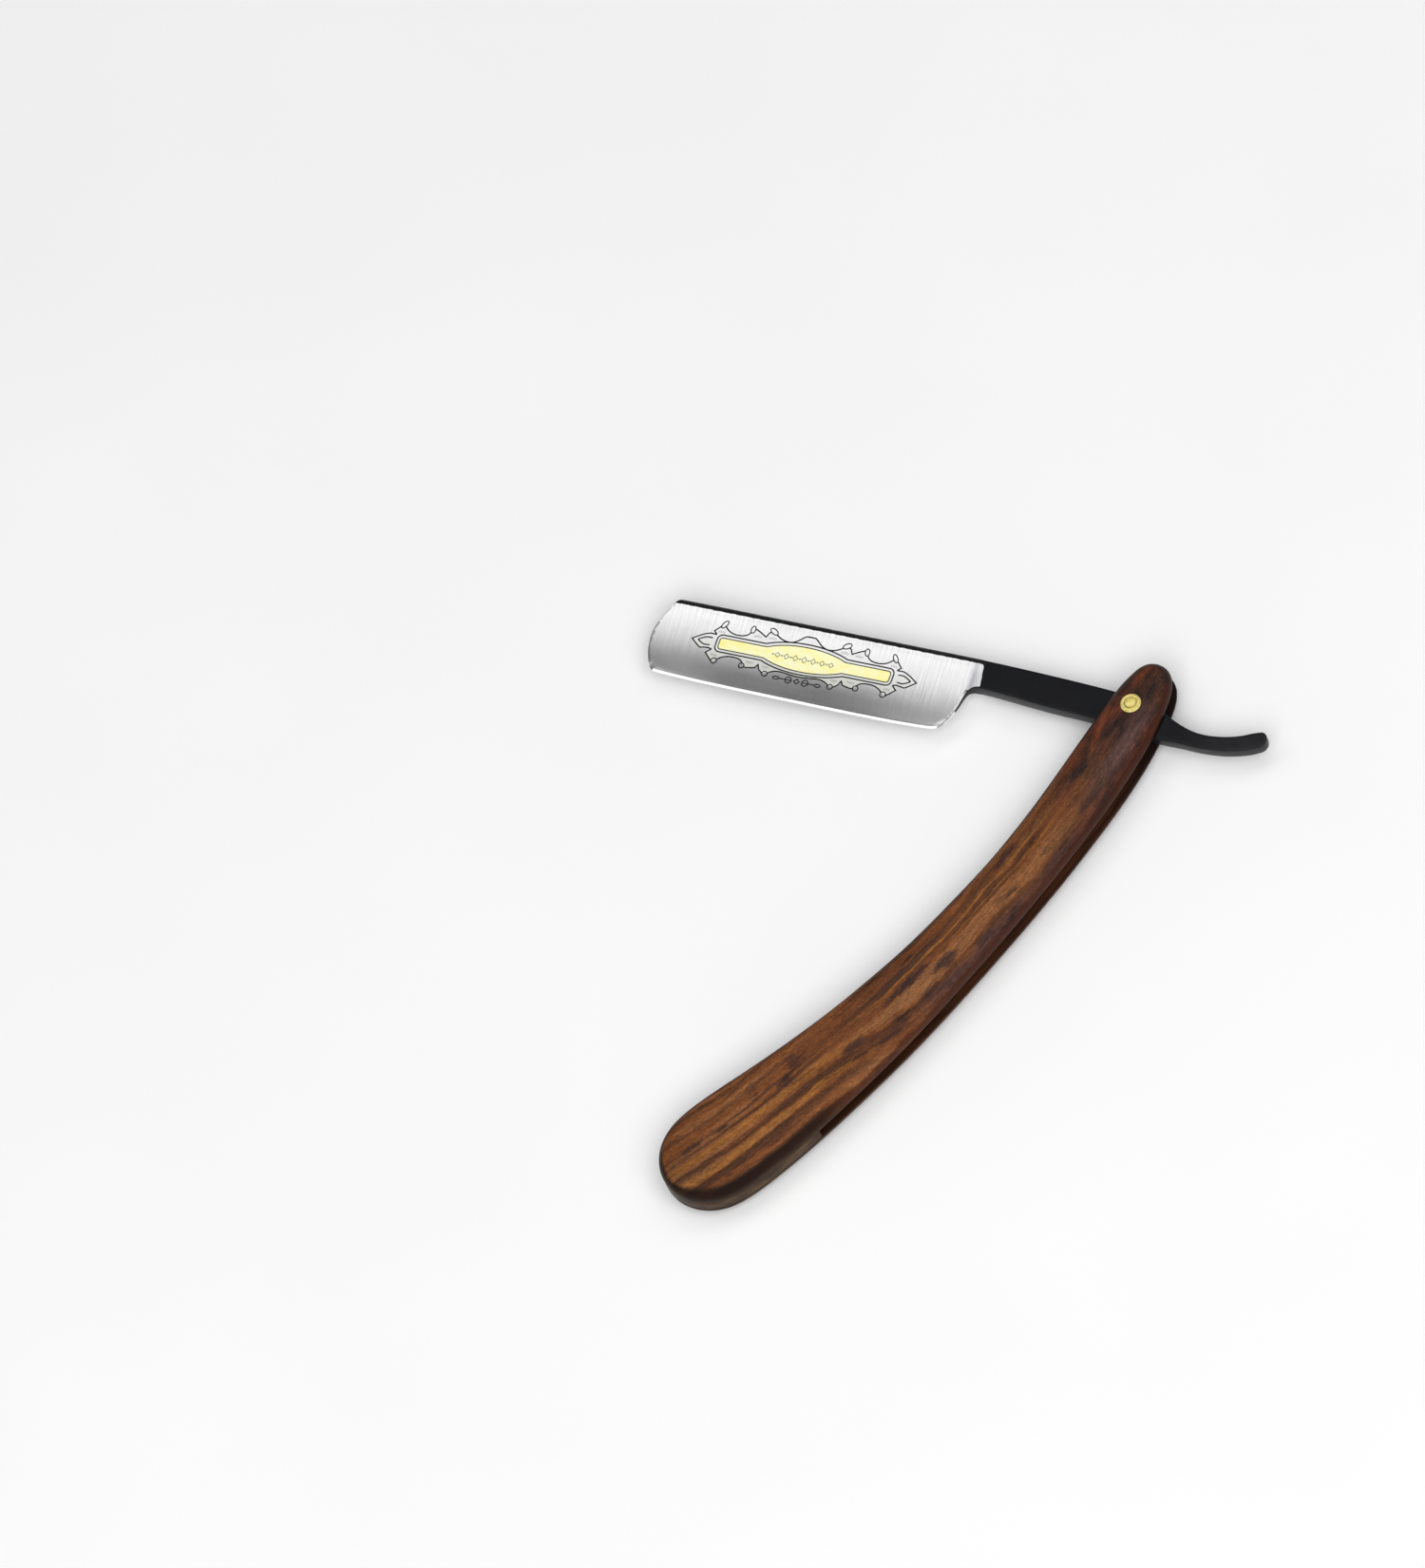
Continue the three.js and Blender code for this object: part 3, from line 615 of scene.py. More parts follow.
    # painted shade: the rounded rim is darkened where it turns from the light, to near-black on the lower side at the
    # wide end and at the tip, and the upright wall is greyer at the wide end
    edge = g.attr("edge")
    en = g.noise(g.scaled((x, w, zz), 0.16, 0.3, 0.5, shift + 51.0), 1.0, 3.0, 0.55)
    ed = g.math("MULTIPLY_ADD", en, -1.1, g.add(edge, 0.55))
    lower_side = g.span(w, 2.0, 8.0)
    wide_end = g.span(x, 112.0, 126.0)
    rim_to = g.add(g.mul(wide_end, g.math("MULTIPLY_ADD", lower_side, 1.9, 0.35)), 1.35)
    rim = g.span(ed, g.mul(rim_to, 0.45), rim_to, 1.0, 0.0)
    tip = g.span(x, 147.0, 156.0)
    black_rim = g.math("MAXIMUM", g.mul(lower_side, wide_end), tip)
    base = g.mix(g.mul(rim, g.math("MULTIPLY_ADD", black_rim, 0.12, 0.82)), base,
                 g.mix(black_rim, lin(56, 27, 16), lin(26, 15, 11)))
    # painted reflection and shade: the wall at the wide end is painted pale grey-brown on the lower scale and the wedge
    # for the floor's reflection, and dark on the upper scale
    if part == 1:
        wall = g.mul(g.span(edge, 0.05, 0.35, 1.0, 0.0), g.mul(g.span(x, 119.0, 128.0), g.math("MAXIMUM", lower_side, tip)))
    else:
        wall = g.span(x, 112.0, 127.0)
    painted_wall_tones = ((26, 18, 13), (46, 32, 21), (66, 48, 32)) if part == 1 else ((34, 24, 16), (64, 46, 30), (92, 69, 46))
    grey = g.ramp(g.add(g.mul(en, 0.6), g.mul(fibre, 0.4)), [(0.34, lin(*painted_wall_tones[0])), (0.48, lin(*painted_wall_tones[1])), (0.64, lin(*painted_wall_tones[2]))])
    base = g.mix(g.mul(wall, 0.85), base, grey)
    # painted shade: the wedge's inner end, down in the slot, is darkened
    if part == 0:
        base = g.mix(g.span(x, 126.5, 131.0, 0.8, 0.0), base, lin(46, 24, 14))
    if part == -1:
        # painted shade: the lower scale's face towards the floor is darkened
        painted_underside_shade = g.span(edge, 0.5, 1.6, 0.0, 1.0)
        base = g.mix(g.mul(painted_underside_shade, 0.75), base, lin(60, 32, 20))
        # painted shade: the lower scale is darkened nearly to black round the pivot, less towards the wide end
        base = g.mix(g.span(x, -2.0, 60.0, 0.92, 0.35), base, lin(26, 19, 16))
    else:
        # painted shade: the rounded pivot end is darkened to a near-black grey
        painted_end_shade = g.mul(g.span(x, -13.0, -7.0, 1.0, 0.0), g.span(edge, 0.3, 2.6, 1.0, 0.2))
        base = g.mix(g.mul(painted_end_shade, 0.85), base, lin(30, 30, 27))
    # a little darker by the pivot and at the tip
    base = g.tone(base, g.mul(g.span(x, 10.0, 60.0, 0.95, 1.04), g.span(x, 136.0, 152.0, 1.0, 0.86)))
    inner = g.span(g.attr("inner"), 0.05, 0.60)
    # the faces in the slot get their own streaked brown, with painted shade: near-black by the pivot and darker where
    # the gap narrows towards the wedge
    slot = g.mix(g.span(x, 55.0, 118.0), g.mix(g.span(streak, 0.4, 0.62), lin(74, 42, 25), lin(44, 26, 17)), lin(40, 22, 11))
    slot = g.mix(g.span(x, -2.0, 24.0, 0.95, 0.0), slot, lin(22, 17, 15))
    base = g.mix(g.mul(inner, 0.92), base, slot)
    rough = g.span(fibre, 0.3, 0.7, 0.38, 0.50, soft=False)
    rough = g.math("MULTIPLY_ADD", holes, 0.20, rough)
    rough = g.math("MULTIPLY_ADD", inner, 0.25, rough)
    height = g.add(g.mul(fibre, 0.6), g.mul(holes, -1.0))
    nrm = g.bump(height, 0.012, 0.6)
    nrm = g.bump(g.noise(g.scaled(p, 0.06, 0.35, 0.35, shift + 61.0), 1.0, 2.0), 0.06, 0.5, nrm)
    g.shader(Base_Color=base, Roughness=rough, Normal=nrm)
    g.bsdf.inputs["IOR"].default_value = 1.45
    g.bsdf.inputs["Specular IOR Level"].default_value = 0.18
    return g.mat


def ground_steel(name):
    """Hollow-ground face: fine lines run across the blade."""
    g = Graph(name)
    t, n, z = g.object_mm(turn=True)
    bend = g.math("MULTIPLY_ADD", g.mul(n, n), 0.004, t)      # the lines are slightly curved
    fine = g.noise(g.vec(g.mul(bend, 9.0), g.mul(n, 0.10), 0.0), 1.0, 3.0, 0.65)
    mid = g.noise(g.vec(g.mul(bend, 1.6), g.mul(n, 0.05), 4.0), 1.0, 2.0, 0.6)
    cloud = g.noise(g.vec(g.mul(t, 0.07), g.mul(n, 0.17), 9.0), 1.0, 2.0, 0.5)
    lines = g.add(g.mul(fine, 0.6), g.mul(mid, 0.4))
    col = g.ramp(lines, [(0.30, (0.70, 0.70, 0.71, 1)), (0.52, (0.82, 0.818, 0.82, 1)), (0.72, (0.90, 0.90, 0.90, 1))])
    col = g.tone(col, g.span(cloud, 0.3, 0.7, 0.93, 1.04, soft=False))
    # painted shade: the thin part towards the edge is darkened for the darker reflection it shows, less so by the heel
    by_heel = g.span(t, 46.0, 70.0, 1.0, 0.0)
    by_head = g.span(t, 96.0, 115.0)
    start = g.math("MULTIPLY_ADD", by_heel, 3.0, g.math("MULTIPLY_ADD", cloud, 2.0, 3.6))
    dark = g.span(n, start, g.add(start, 5.5))
    painted_shade_depth = g.math("MULTIPLY_ADD", by_heel, -0.42, g.math("MULTIPLY_ADD", by_head, -0.30, 0.44))
    col = g.tone(col, g.sub(1.0, g.mul(dark, painted_shade_depth)))
    # a darker line just behind the bevel, stronger near the heel
    line = g.span(g.attr("off"), 0.62, 1.25, 1.0, 0.0)
    col = g.tone(col, g.sub(1.0, g.mul(line, g.math("MULTIPLY_ADD", by_heel, 0.30, 0.22))))
    rough = g.span(lines, 0.3, 0.7, 0.24, 0.16, soft=False)
    rough = g.math("MULTIPLY_ADD", cloud, 0.06, rough)
    g.shader(Base_Color=col, Roughness=rough, Normal=g.bump(lines, 0.0035, 0.5))
    g.bsdf.inputs["Metallic"].default_value = 1.0
    return g.mat


def honed_steel(name):
    """The narrow bevel along the cutting edge."""
    g = Graph(name)
    t, n, z = g.object_mm(turn=True)
    lines = g.noise(g.vec(g.mul(t, 5.0), g.mul(n, 1.2), 2.0), 1.0, 3.0, 0.6)
    col = g.ramp(lines, [(0.3, (0.86, 0.865, 0.875, 1)), (0.7, (0.95, 0.95, 0.955, 1))])
    g.shader(Base_Color=col, Roughness=g.span(lines, 0.3, 0.7, 0.20, 0.13, soft=False),
             Normal=g.bump(lines, 0.001, 0.5))
    g.bsdf.inputs["Metallic"].default_value = 1.0
    return g.mat


def shoulder_steel(name):
    """The hand-ground shoulder between the face and the tang."""
    g = Graph(name)
    t, n, z = g.object_mm(turn=True)
    lines = g.noise(g.vec(g.mul(t, 0.5), g.mul(n, 5.0), 6.0), 1.0, 3.0, 0.6)
    cloud = g.noise(g.vec(g.mul(t, 0.9), g.mul(n, 0.35), 1.0), 1.0, 2.0, 0.5)
    col = g.ramp(lines, [(0.3, (0.80, 0.80, 0.83, 1)), (0.7, (0.90, 0.90, 0.92, 1))])
    # painted shade: a darker band runs down the middle of the shoulder
    off = g.math("ABSOLUTE", g.sub(g.add(t, g.mul(cloud, 0.5)), 41.6))
    col = g.tone(col, g.span(off, 0.1, 1.1, 0.76, 1.0))
    col = g.tone(col, g.span(cloud, 0.3, 0.7, 0.90, 1.05, soft=False))
    g.shader(Base_Color=col, Roughness=g.span(cloud, 0.3, 0.7, 0.38, 0.48, soft=False),
             Normal=g.bump(lines, 0.004, 0.5))
    g.bsdf.inputs["Metallic"].default_value = 0.30
    return g.mat


def black_coat(name):
    """Satin black coating on the spine, tang and tail, worn a little."""
    g = Graph(name)
    t, n, z = g.object_mm(turn=True)
    fine = g.noise(g.vec(g.mul(t, 2.2), g.mul(n, 2.2), g.mul(z, 2.2)), 1.0, 3.0, 0.6)
    brush = g.noise(g.vec(g.mul(t, 0.35), g.mul(n, 4.0), g.mul(z, 4.0)), 1.0, 3.0, 0.6)
    cloud = g.noise(g.vec(g.mul(t, 0.14), g.mul(n, 0.3), g.mul(z, 0.3)), 1.0, 2.0, 0.5)
    col = g.ramp(cloud, [(0.3, (0.0022, 0.0024, 0.0036, 1)), (0.7, (0.0040, 0.0043, 0.0060, 1))])
    # the tail is rubbed a little lighter
    tail = g.span(t, -26.0, -8.0, 1.0, 0.0)
    col = g.mix(g.mul(tail, g.span(cloud, 0.35, 0.65, 0.45, 0.95)), col, (0.014, 0.0140, 0.0155, 1))
    col = g.tone(col, g.span(fine, 0.3, 0.7, 0.80, 1.25, soft=False))
    worn = g.mul(g.span(g.attr("edge"), 0.0, 0.20, 1.0, 0.0), g.span(brush, 0.42, 0.66))
    col = g.mix(g.mul(worn, 0.30), col, (0.040, 0.040, 0.043, 1))
    rough = g.math("MULTIPLY_ADD", fine, 0.10, g.span(brush, 0.3, 0.7, 0.27, 0.37, soft=False))
    height = g.add(g.mul(fine, 0.7), g.mul(brush, 0.5))
    g.shader(Base_Color=col, Roughness=rough, Normal=g.bump(height, 0.006, 0.6))
    g.bsdf.inputs["Specular IOR Level"].default_value = 0.27
    return g.mat


def gilt(name):
    """Pale gold wash, deeper in tone where it is thicker at the ends."""
    g = Graph(name)
    t, n, z = g.object_mm(turn=True)
    cloud = g.noise(g.vec(g.mul(t, 0.30), g.mul(n, 0.5), 3.0), 1.0, 3.0, 0.55)
    fine = g.noise(g.vec(g.mul(t, 6.0), g.mul(n, 1.0), 5.0), 1.0, 3.0, 0.6)
    ends = g.span(g.math("ABSOLUTE", g.sub(t, 83.7)), 12.0, 21.0)
    col = g.ramp(g.sub(cloud, g.mul(ends, 0.12)), [(0.25, lin(255, 246, 150)), (0.48, lin(255, 251, 190)), (0.7, lin(255, 255, 218))])
    col = g.tone(col, g.span(fine, 0.3, 0.7, 0.95, 1.03, soft=False))
    g.shader(Base_Color=col, Roughness=g.span(fine, 0.3, 0.7, 0.42, 0.52, soft=False),
             Normal=g.bump(fine, 0.002, 0.5))
    g.bsdf.inputs["Metallic"].default_value = 0.15
    return g.mat


def frosted(name):
    """Finely matted steel, the ground inside the ornament."""
    g = Graph(name)
    t, n, z = g.object_mm(turn=True)
    fine = g.noise(g.vec(g.mul(t, 7.0), g.mul(n, 7.0), 1.0), 1.0, 3.0, 0.6)
    cloud = g.noise(g.vec(g.mul(t, 0.4), g.mul(n, 0.5), 8.0), 1.0, 2.0, 0.5)
    col = g.ramp(cloud, [(0.3, (0.93, 0.92, 0.92, 1)), (0.7, (0.99, 0.98, 0.99, 1))])
    # painted shade: darker towards the edge, like the ground face around it
    col = g.mix(g.span(n, 1.0, 9.0), col, (0.72, 0.73, 0.67, 1))
    col = g.tone(col, g.span(fine, 0.3, 0.7, 0.92, 1.03, soft=False))
    g.shader(Base_Color=col, Roughness=g.span(fine, 0.3, 0.7, 0.46, 0.56, soft=False), Normal=g.bump(fine, 0.004, 0.5))
    g.bsdf.inputs["Metallic"].default_value = 0.38
    return g.mat


def etch(name, tone):
    """Blackened etched line."""
    g = Graph(name)
    t, n, z = g.object_mm(turn=True)
    fine = g.noise(g.vec(g.mul(t, 3.0), g.mul(n, 3.0), 3.0), 1.0, 2.0, 0.6)
    a, b = tone * 0.75, tone * 1.35
    col = g.ramp(fine, [(0.3, (a, a, a * 1.04, 1)), (0.7, (b, b, b * 1.04, 1))])
    g.shader(Base_Color=col, Roughness=g.span(fine, 0.3, 0.7, 0.50, 0.65, soft=False),
             Normal=g.bump(fine, 0.003, 0.5))
    g.bsdf.inputs["Specular IOR Level"].default_value = 0.08
    return g.mat


def brass(name, hammered=0.0, deep=False):
    """Pale brass with turning marks, tarnished where it is recessed."""
    g = Graph(name)
    x, y, z = g.object_mm()
    r = g.math("SQRT", g.add(g.mul(x, x), g.mul(y, y)))
    ring = g.math("SINE", g.mul(r, 62.0))
    spot = g.noise(g.vec(g.mul(x, 1.6), g.mul(y, 1.6), g.mul(z, 1.6)), 1.0, 3.0, 0.6)
    fine = g.noise(g.vec(g.mul(x, 9.0), g.mul(y, 9.0), g.mul(z, 9.0)), 1.0, 2.0, 0.6)
    if deep:
        col = g.ramp(spot, [(0.3, lin(150, 118, 60)), (0.7, lin(196, 164, 92))])
    else:
        col = g.ramp(spot, [(0.28, lin(244, 216, 108)), (0.5, lin(254, 236, 138)), (0.72, lin(255, 246, 178))])
    cav = g.attr("cavity")
    # the recesses are tarnished, and painted shade makes them darker on one side
    painted_shade_side = g.span(g.math("MULTIPLY_ADD", x, 0.45, g.mul(y, -0.9)), -1.0, 1.2, 0.35, 1.0)
    col = g.mix(g.mul(g.mul(cav, painted_shade_side), 0.85), col, lin(112, 84, 30))
    col = g.tone(col, g.span(fine, 0.3, 0.7, 0.93, 1.05, soft=False))
    rough = g.math("MULTIPLY_ADD", cav, 0.15, g.span(spot, 0.3, 0.7, 0.26, 0.38, soft=False))
    nrm = g.bump(ring, 0.0012, 0.6)
    if hammered:
        dent = g.voronoi(g.vec(g.mul(x, 1.5), g.mul(y, 1.5), g.mul(z, 1.5)), 1.0, "SMOOTH_F1")
        nrm = g.bump(dent, 0.05 * hammered, 1.0, nrm)
    g.shader(Base_Color=col, Roughness=rough, Normal=nrm)
    g.bsdf.inputs["Metallic"].default_value = 0.9 if deep else 0.55
    return g.mat


# ------------------------------------------------------------------- handle

half_gap = lambda x: 0.5 * (GAP_PIVOT + (GAP_WEDGE - GAP_PIVOT) * np.clip((x - TAPER_X0) / (TAPER_X1 - TAPER_X0), 0, 1))
scale_t = lambda x: SCALE_T_PIVOT + (SCALE_T_WEDGE - SCALE_T_PIVOT) * np.clip((x - TAPER_X0) / (TAPER_X1 - TAPER_X0), 0, 1)

handle_dense = catmull(HOLLOW_SIDE[:-1] + BOWED_SIDE[::-1][:-1], closed=True, per=60)
handle_loop = resample(handle_dense, 0.62, 4.0)
PIN_HOLE = circle(0, 0, 1.25, 48)


def crown(x):
    """How far in the outer face is rounded, and how square the round is."""
    s = smooth(12.0, 112.0, x)
    return lerp(5.6, 3.3, s), lerp(2.55, 2.40, s)


def crown_height(x, d):
    reach, power = crown(x)
    u = np.clip(1 - d / reach, 0, 1)
    return (1 - u**power) ** (1 / power)


def build_scale(name, up, mat):
    loop, nrm = handle_loop, inward(handle_loop)
    x = loop[:, 0]
    n = len(loop)
    gap, thick = half_gap(x), scale_t(x)
    reach, power = crown(x)
    tight = lerp(0.16, 0.045, smooth(118.0, 127.0, x))     # round on the slot's lip
    sh = Shell()
    rings = []
    for inset, lift in ((1.0, 0.0), (0.55, 0.06), (0.29, 0.29), (0.06, 0.62), (0.0, 1.0)):
        rings.append((loop + nrm * (tight * inset)[:, None], gap + tight * lift, tight * inset, 0.35))
    for deg in (4.5, 8, 12.5, 18, 24.5, 32, 40, 49, 58):
        c, s = math.cos(math.radians(deg)), math.sin(math.radians(deg))
        d = reach * (1 - c ** (2 / power))
        rings.append((loop + nrm * d[:, None], np.maximum(gap + thick * s ** (2 / power), gap + tight * 1.4), d, 0.0))
    bases = []
    inner = []
    for pts, zz, d, slot in rings:
        bases.append(sh.add(pts, MID_Z + up * zz, d))
        inner += [slot] * n
    for a, b in zip(bases[:-1], bases[1:]):
        sh.band(a, b, n, flip=up < 0)
    # outer face
    top = rings[-1][0]
    pts = grid(top, 0.95, 0.62, 0.30, holes=[PIN_HOLE])
    around = circle(0, 0, 1.75, 48)
    pts = pts[~inside(pts, circle(0, 0, 2.1, 48))]
    allp, tris = triangulate([top, PIN_HOLE], np.vstack([pts, around, circle(0, 0, 2.25, 40)]))
    d = distance(allp[n:], loop)
    xs = allp[n:, 0]
    z = MID_Z + up * (half_gap(xs) + scale_t(xs) * crown_height(xs, d))
    hb = sh.add(allp[n:], z, d)
    inner += [0.0] * len(xs)
    number = list(range(bases[-1], bases[-1] + n)) + list(range(hb, hb + len(xs)))
    sh.tris(tris, number, flip=up < 0)
    # inner face
    low = rings[0][0]
    pts = grid(low, 4.0, 2.6, 1.2, holes=[PIN_HOLE])
    allp, tris = triangulate([low, PIN_HOLE], pts)
    d = distance(allp[n:], loop)
    xs = allp[n:, 0]
    lb = sh.add(allp[n:], MID_Z + up * half_gap(xs), d)
    inner += [1.0] * len(xs)
    number = list(range(bases[0], bases[0] + n)) + list(range(lb, lb + len(xs)))
    sh.tris(tris, number, flip=up > 0)
    sh.band(hb, lb, len(PIN_HOLE), flip=up < 0)
    return make_mesh(name, sh.v, sh.f, [mat], sh.m, {"edge": sh.a, "inner": inner}, sharp=50)


wood_front = rosewood("rosewood_front", 0.0, 1)
wood_back = rosewood("rosewood_back", 71.0, -1)
wood_wedge = rosewood("rosewood_wedge", 133.0, 0)

scale_front = build_scale("scale_front", 1, wood_front)
scale_back = build_scale("scale_back", -1, wood_back)


def build_wedge(name, mat):
    x0 = 125.6
    ring = handle_dense
    keep = ring[ring[:, 0] > x0]
    nrm = inward(ring)[ring[:, 0] > x0]
    body = keep + nrm * 0.035
    first, last = body[0], body[-1]
    mid = (first + last) / 2 + np.array([2.4, 0.0])
    s = np.linspace(0, 1, 60)[1:-1, None]
    arc = last * (1 - s) ** 2 + 2 * mid * s * (1 - s) + first * s**2
    loop = resample(np.vstack([body, arc]), 0.6, 6.0)
    nr = inward(loop)
    n = len(loop)
    h = GAP_WEDGE / 2 - 0.02
    sh = Shell()
    rings = [(0.05, -h), (0.015, -h + 0.02), (0.0, -h + 0.06), (0.0, h - 0.06), (0.015, h - 0.02), (0.05, h)]
    bases = [sh.add(loop + nr * d, MID_Z + z, 0.9) for d, z in rings]
    for a, b in zip(bases[:-1], bases[1:]):
        sh.band(a, b, n)
    for base, flip in ((bases[0], True), (bases[-1], False)):
        pts = grid(loop, 3.0, 2.4, 1.0)
        allp, tris = triangulate([loop + nr * 0.05], pts)
        eb = sh.add(allp[n:], MID_Z + (-h if flip else h), 3.0)
        number = list(range(base, base + n)) + list(range(eb, eb + len(allp) - n))
        sh.tris(tris, number, flip=flip)
    return make_mesh(name, sh.v, sh.f, [mat], sh.m, {"edge": sh.a, "inner": [0.0] * len(sh.v)}, sharp=40)


wedge_block = build_wedge("wedge_block", wood_wedge)

# -------------------------------------------------------------------- blade

grind = table(GRIND)
tang_t = table(TANG_T)


front_dense = catmull(FRONT_LINE, per=80)


def edge_n(t):
    """The cutting edge's place across the blade, along the blade."""
    line = front_dense[(front_dense[:, 0] > 42.0)]
    order = np.argsort(line[:, 0])
    return np.interp(t, line[order, 0], line[order, 1])


def base_thickness(t, n):
    t, n = np.asarray(t, float), np.asarray(n, float)
    bevel = EDGE_T + (0.34 - EDGE_T) * (edge_n(t) - n) / BEVEL_W
    face = lerp(grind(n), np.minimum(grind(n), np.maximum(bevel, EDGE_T * 0.8)), smooth(11.9, 12.9, n))
    return lerp(tang_t(t), face, smooth(SHOULDER_T0, SHOULDER_T1, t))


def rim_round(t, n):
    s = smooth(SHOULDER_T0, SHOULDER_T1, t)
    return np.minimum(lerp(0.30, 0.09, s), 0.30 * base_thickness(t, n))


blade_dense = catmull(BACK_LINE[:-1] + FRONT_LINE[::-1][:-1], closed=True, per=80)
blade_loop = resample(blade_dense, 0.55, 5.0)


def top_z(t, n):
    return 0.5 * base_thickness(np.asarray(t, float), np.asarray(n, float))


def build_blade(name, mats):
    """mats: ground face, black coat, honed bevel, shoulder."""
    loop = blade_loop
    nrm = inward(loop)
    n = len(loop)
    t, w = loop[:, 0], loop[:, 1]
    c = rim_round(t, w)
    th = base_thickness(t, w)
    sh = Shell()

    def coated(tt, ww):
        shank = 39.9 - (ww + 4.2) * 0.185
        return (tt < shank) | (ww < COAT_N)

    def material(tt, ww, wall=False):
        tt, ww = np.asarray(tt, float), np.asarray(ww, float)
        m = np.zeros(len(tt), int)
        m[(tt < 42.6) & (ww < 2.9)] = 3
        m[(ww > 13.0) & (tt > 44.9) & (tt < 120.4)] = 2
        if wall:
            m[m == 0] = 3
        m[coated(tt, ww)] = 1
        if wall:
            m[(tt < 43.0) & (ww < 8.6)] = 1
            m[(tt > 118.8) & (ww < -3.4)] = 1
        return m

    # wall and rounded rims, upper side then lower side mirrored
    steps = (0.0, 0.13, 0.36, 0.66, 1.0)
    rings = {}
    for up in (1, -1):
        rings[up] = []
        for k in steps:
            lift = th / 2 - c * (1 - np.sqrt(np.maximum(0, 1 - (1 - k) ** 2)))
            pts = loop + nrm * (c * k)[:, None]
            rings[up].append((sh.add(pts, MID_Z + up * lift, c * k), pts))
    jt, jw = (t + np.roll(t, -1)) / 2, (w + np.roll(w, -1)) / 2
    wall = material(jt, jw, wall=True)
    sh.band(rings[-1][0][0], rings[1][0][0], n, mat=wall)
    for up in (1, -1):
        for (a, pa), (b, _) in zip(rings[up][:-1], rings[up][1:]):
            sh.band(a, b, n, flip=up < 0, mat=material(jt, jw, wall=True))
    # faces: the coating's ragged border, the bevel line and the shank line stay edges
    inner_loop = rings[1][-1][1]
    bore = circle(0, 0, 1.25, 48)
    ts = np.arange(40.2, 121.9, 0.22)
    rough_line = np.c_[ts, COAT_N + 0.045 * wobble(ts * 1.1, 5, 3) + 0.040 * wobble(ts * 5.5, 8, 3)]
    rough_line = rough_line[inside(rough_line, inner_loop)]
    rough_line = rough_line[distance(rough_line, inner_loop) > 0.06]
    # from the border to the rim behind, square to the shank line
    ws = np.linspace(COAT_N, 2.2, 22)
    shank = np.c_[39.9 - (ws + 4.2) * 0.185 + 0.03 * wobble(ws * 2.2, 12), ws]
    shank = shank[inside(shank, inner_loop)]
    shank = shank[distance(shank, inner_loop) > 0.06]
    shank = np.vstack([shank[:1] * 0 + rough_line[0], shank[1:]])
    # the bevel's line keeps its distance from the edge and ends at both corners
    bt = np.arange(46.0, 119.4, 0.5)
    bevel = np.c_[bt, edge_n(bt) - 0.645 + 0.015 * wobble(bt * 0.6, 3)]
    bevel = bevel[inside(bevel, inner_loop)]
    bevel = bevel[distance(bevel, inner_loop) > 0.05]
    rows = np.array([-4.72, -4.45, -4.2, -3.62, -3.3, -2.95, -2.6, -2.2, -1.7, -1.1, -0.5, 0.2, 0.9, 1.7, 2.5, 3.3,
                     4.2, 5.1, 6.0, 7.0, 8.0, 9.0, 10.0, 11.0, 11.9, 12.6, 13.2, 13.7, 14.1, 14.45])
    pts = grid(inner_loop, 0.85, 0.7, 0.12, rows=rows, holes=[bore])
    more = [grid(inner_loop, 0.4, 0.4, 0.15, rows=np.arange(-4.6, 5, 0.42), holes=[bore])]
    more = more[0][(more[0][:, 0] > 38.4) & (more[0][:, 0] < 43.6)]
    pts = np.vstack([pts[(pts[:, 0] < 38.4) | (pts[:, 0] > 43.6) | (pts[:, 1] > 5)], more])
    for ln in (rough_line, shank, bevel):
        pts = pts[distance(pts, ln, closed=False) > 0.14]
    allp, tris = triangulate([inner_loop, bore], pts, lines=[rough_line, shank, bevel])
    cen = allp[tris].mean(1)
    # sort each triangle by the side of the drawn lines it lies on
    edge_at = lambda tt: np.interp(tt, rough_line[:, 0], rough_line[:, 1])
    shank_at = lambda ww: np.interp(ww, shank[:, 1], shank[:, 0])
    bevel_at = lambda tt: np.interp(tt, bevel[:, 0], bevel[:, 1])
    m = np.zeros(len(tris), int)
    ct, cw = cen[:, 0], cen[:, 1]
    m[(ct < 42.6) & (cw < 2.9)] = 3
    m[(ct > 45.9) & (ct < 119.5) & (cw > bevel_at(ct))] = 2
    m[(ct > rough_line[0, 0]) & (cw < edge_at(ct))] = 1
    m[(ct <= rough_line[0, 0]) & (cw < COAT_N)] = 1
    m[ct < shank_at(cw)] = 1
    d = distance(allp[n:], loop)
    zt = top_z(allp[n:, 0], allp[n:, 1])
    holes = {}
    for up in (1, -1):
        base = sh.add(allp[n:], MID_Z + up * zt, d)
        holes[up] = base
        ring = rings[up][-1][0]
        number = list(range(ring, ring + n)) + list(range(base, base + len(zt)))
        sh.tris(tris, number, m, flip=up < 0)
    sh.band(holes[-1], holes[1], len(bore), flip=True, mat=1)
    at = np.array(sh.v)
    off = [float(q) for q in edge_n(at[:, 0]) - at[:, 1]]
    ob = make_mesh(name, sh.v, sh.f, mats, sh.m, {"edge": sh.a, "off": off}, sharp=24, turn=True)
    # the bevel meets the face in a crisp line
    me = ob.data
    kind = {}
    for f in me.polygons:
        for e in f.edge_keys:
            kind.setdefault(e, set()).add(f.material_index)
    sharp = me.attributes.get("sharp_edge") or me.attributes.new("sharp_edge", "BOOLEAN", "EDGE")
    for e in me.edges:
        if kind.get(tuple(sorted(e.vertices)), set()) == {0, 2}:
            sharp.data[e.index].value = True
    return ob


steel_face = ground_steel("steel_ground")
steel_edge = honed_steel("steel_honed")
steel_shoulder = shoulder_steel("steel_shoulder")
coat = black_coat("black_coat")
blade_body = build_blade("blade_body", [steel_face, coat, steel_edge, steel_shoulder])

# ---------------------------------------------------------------- ornament

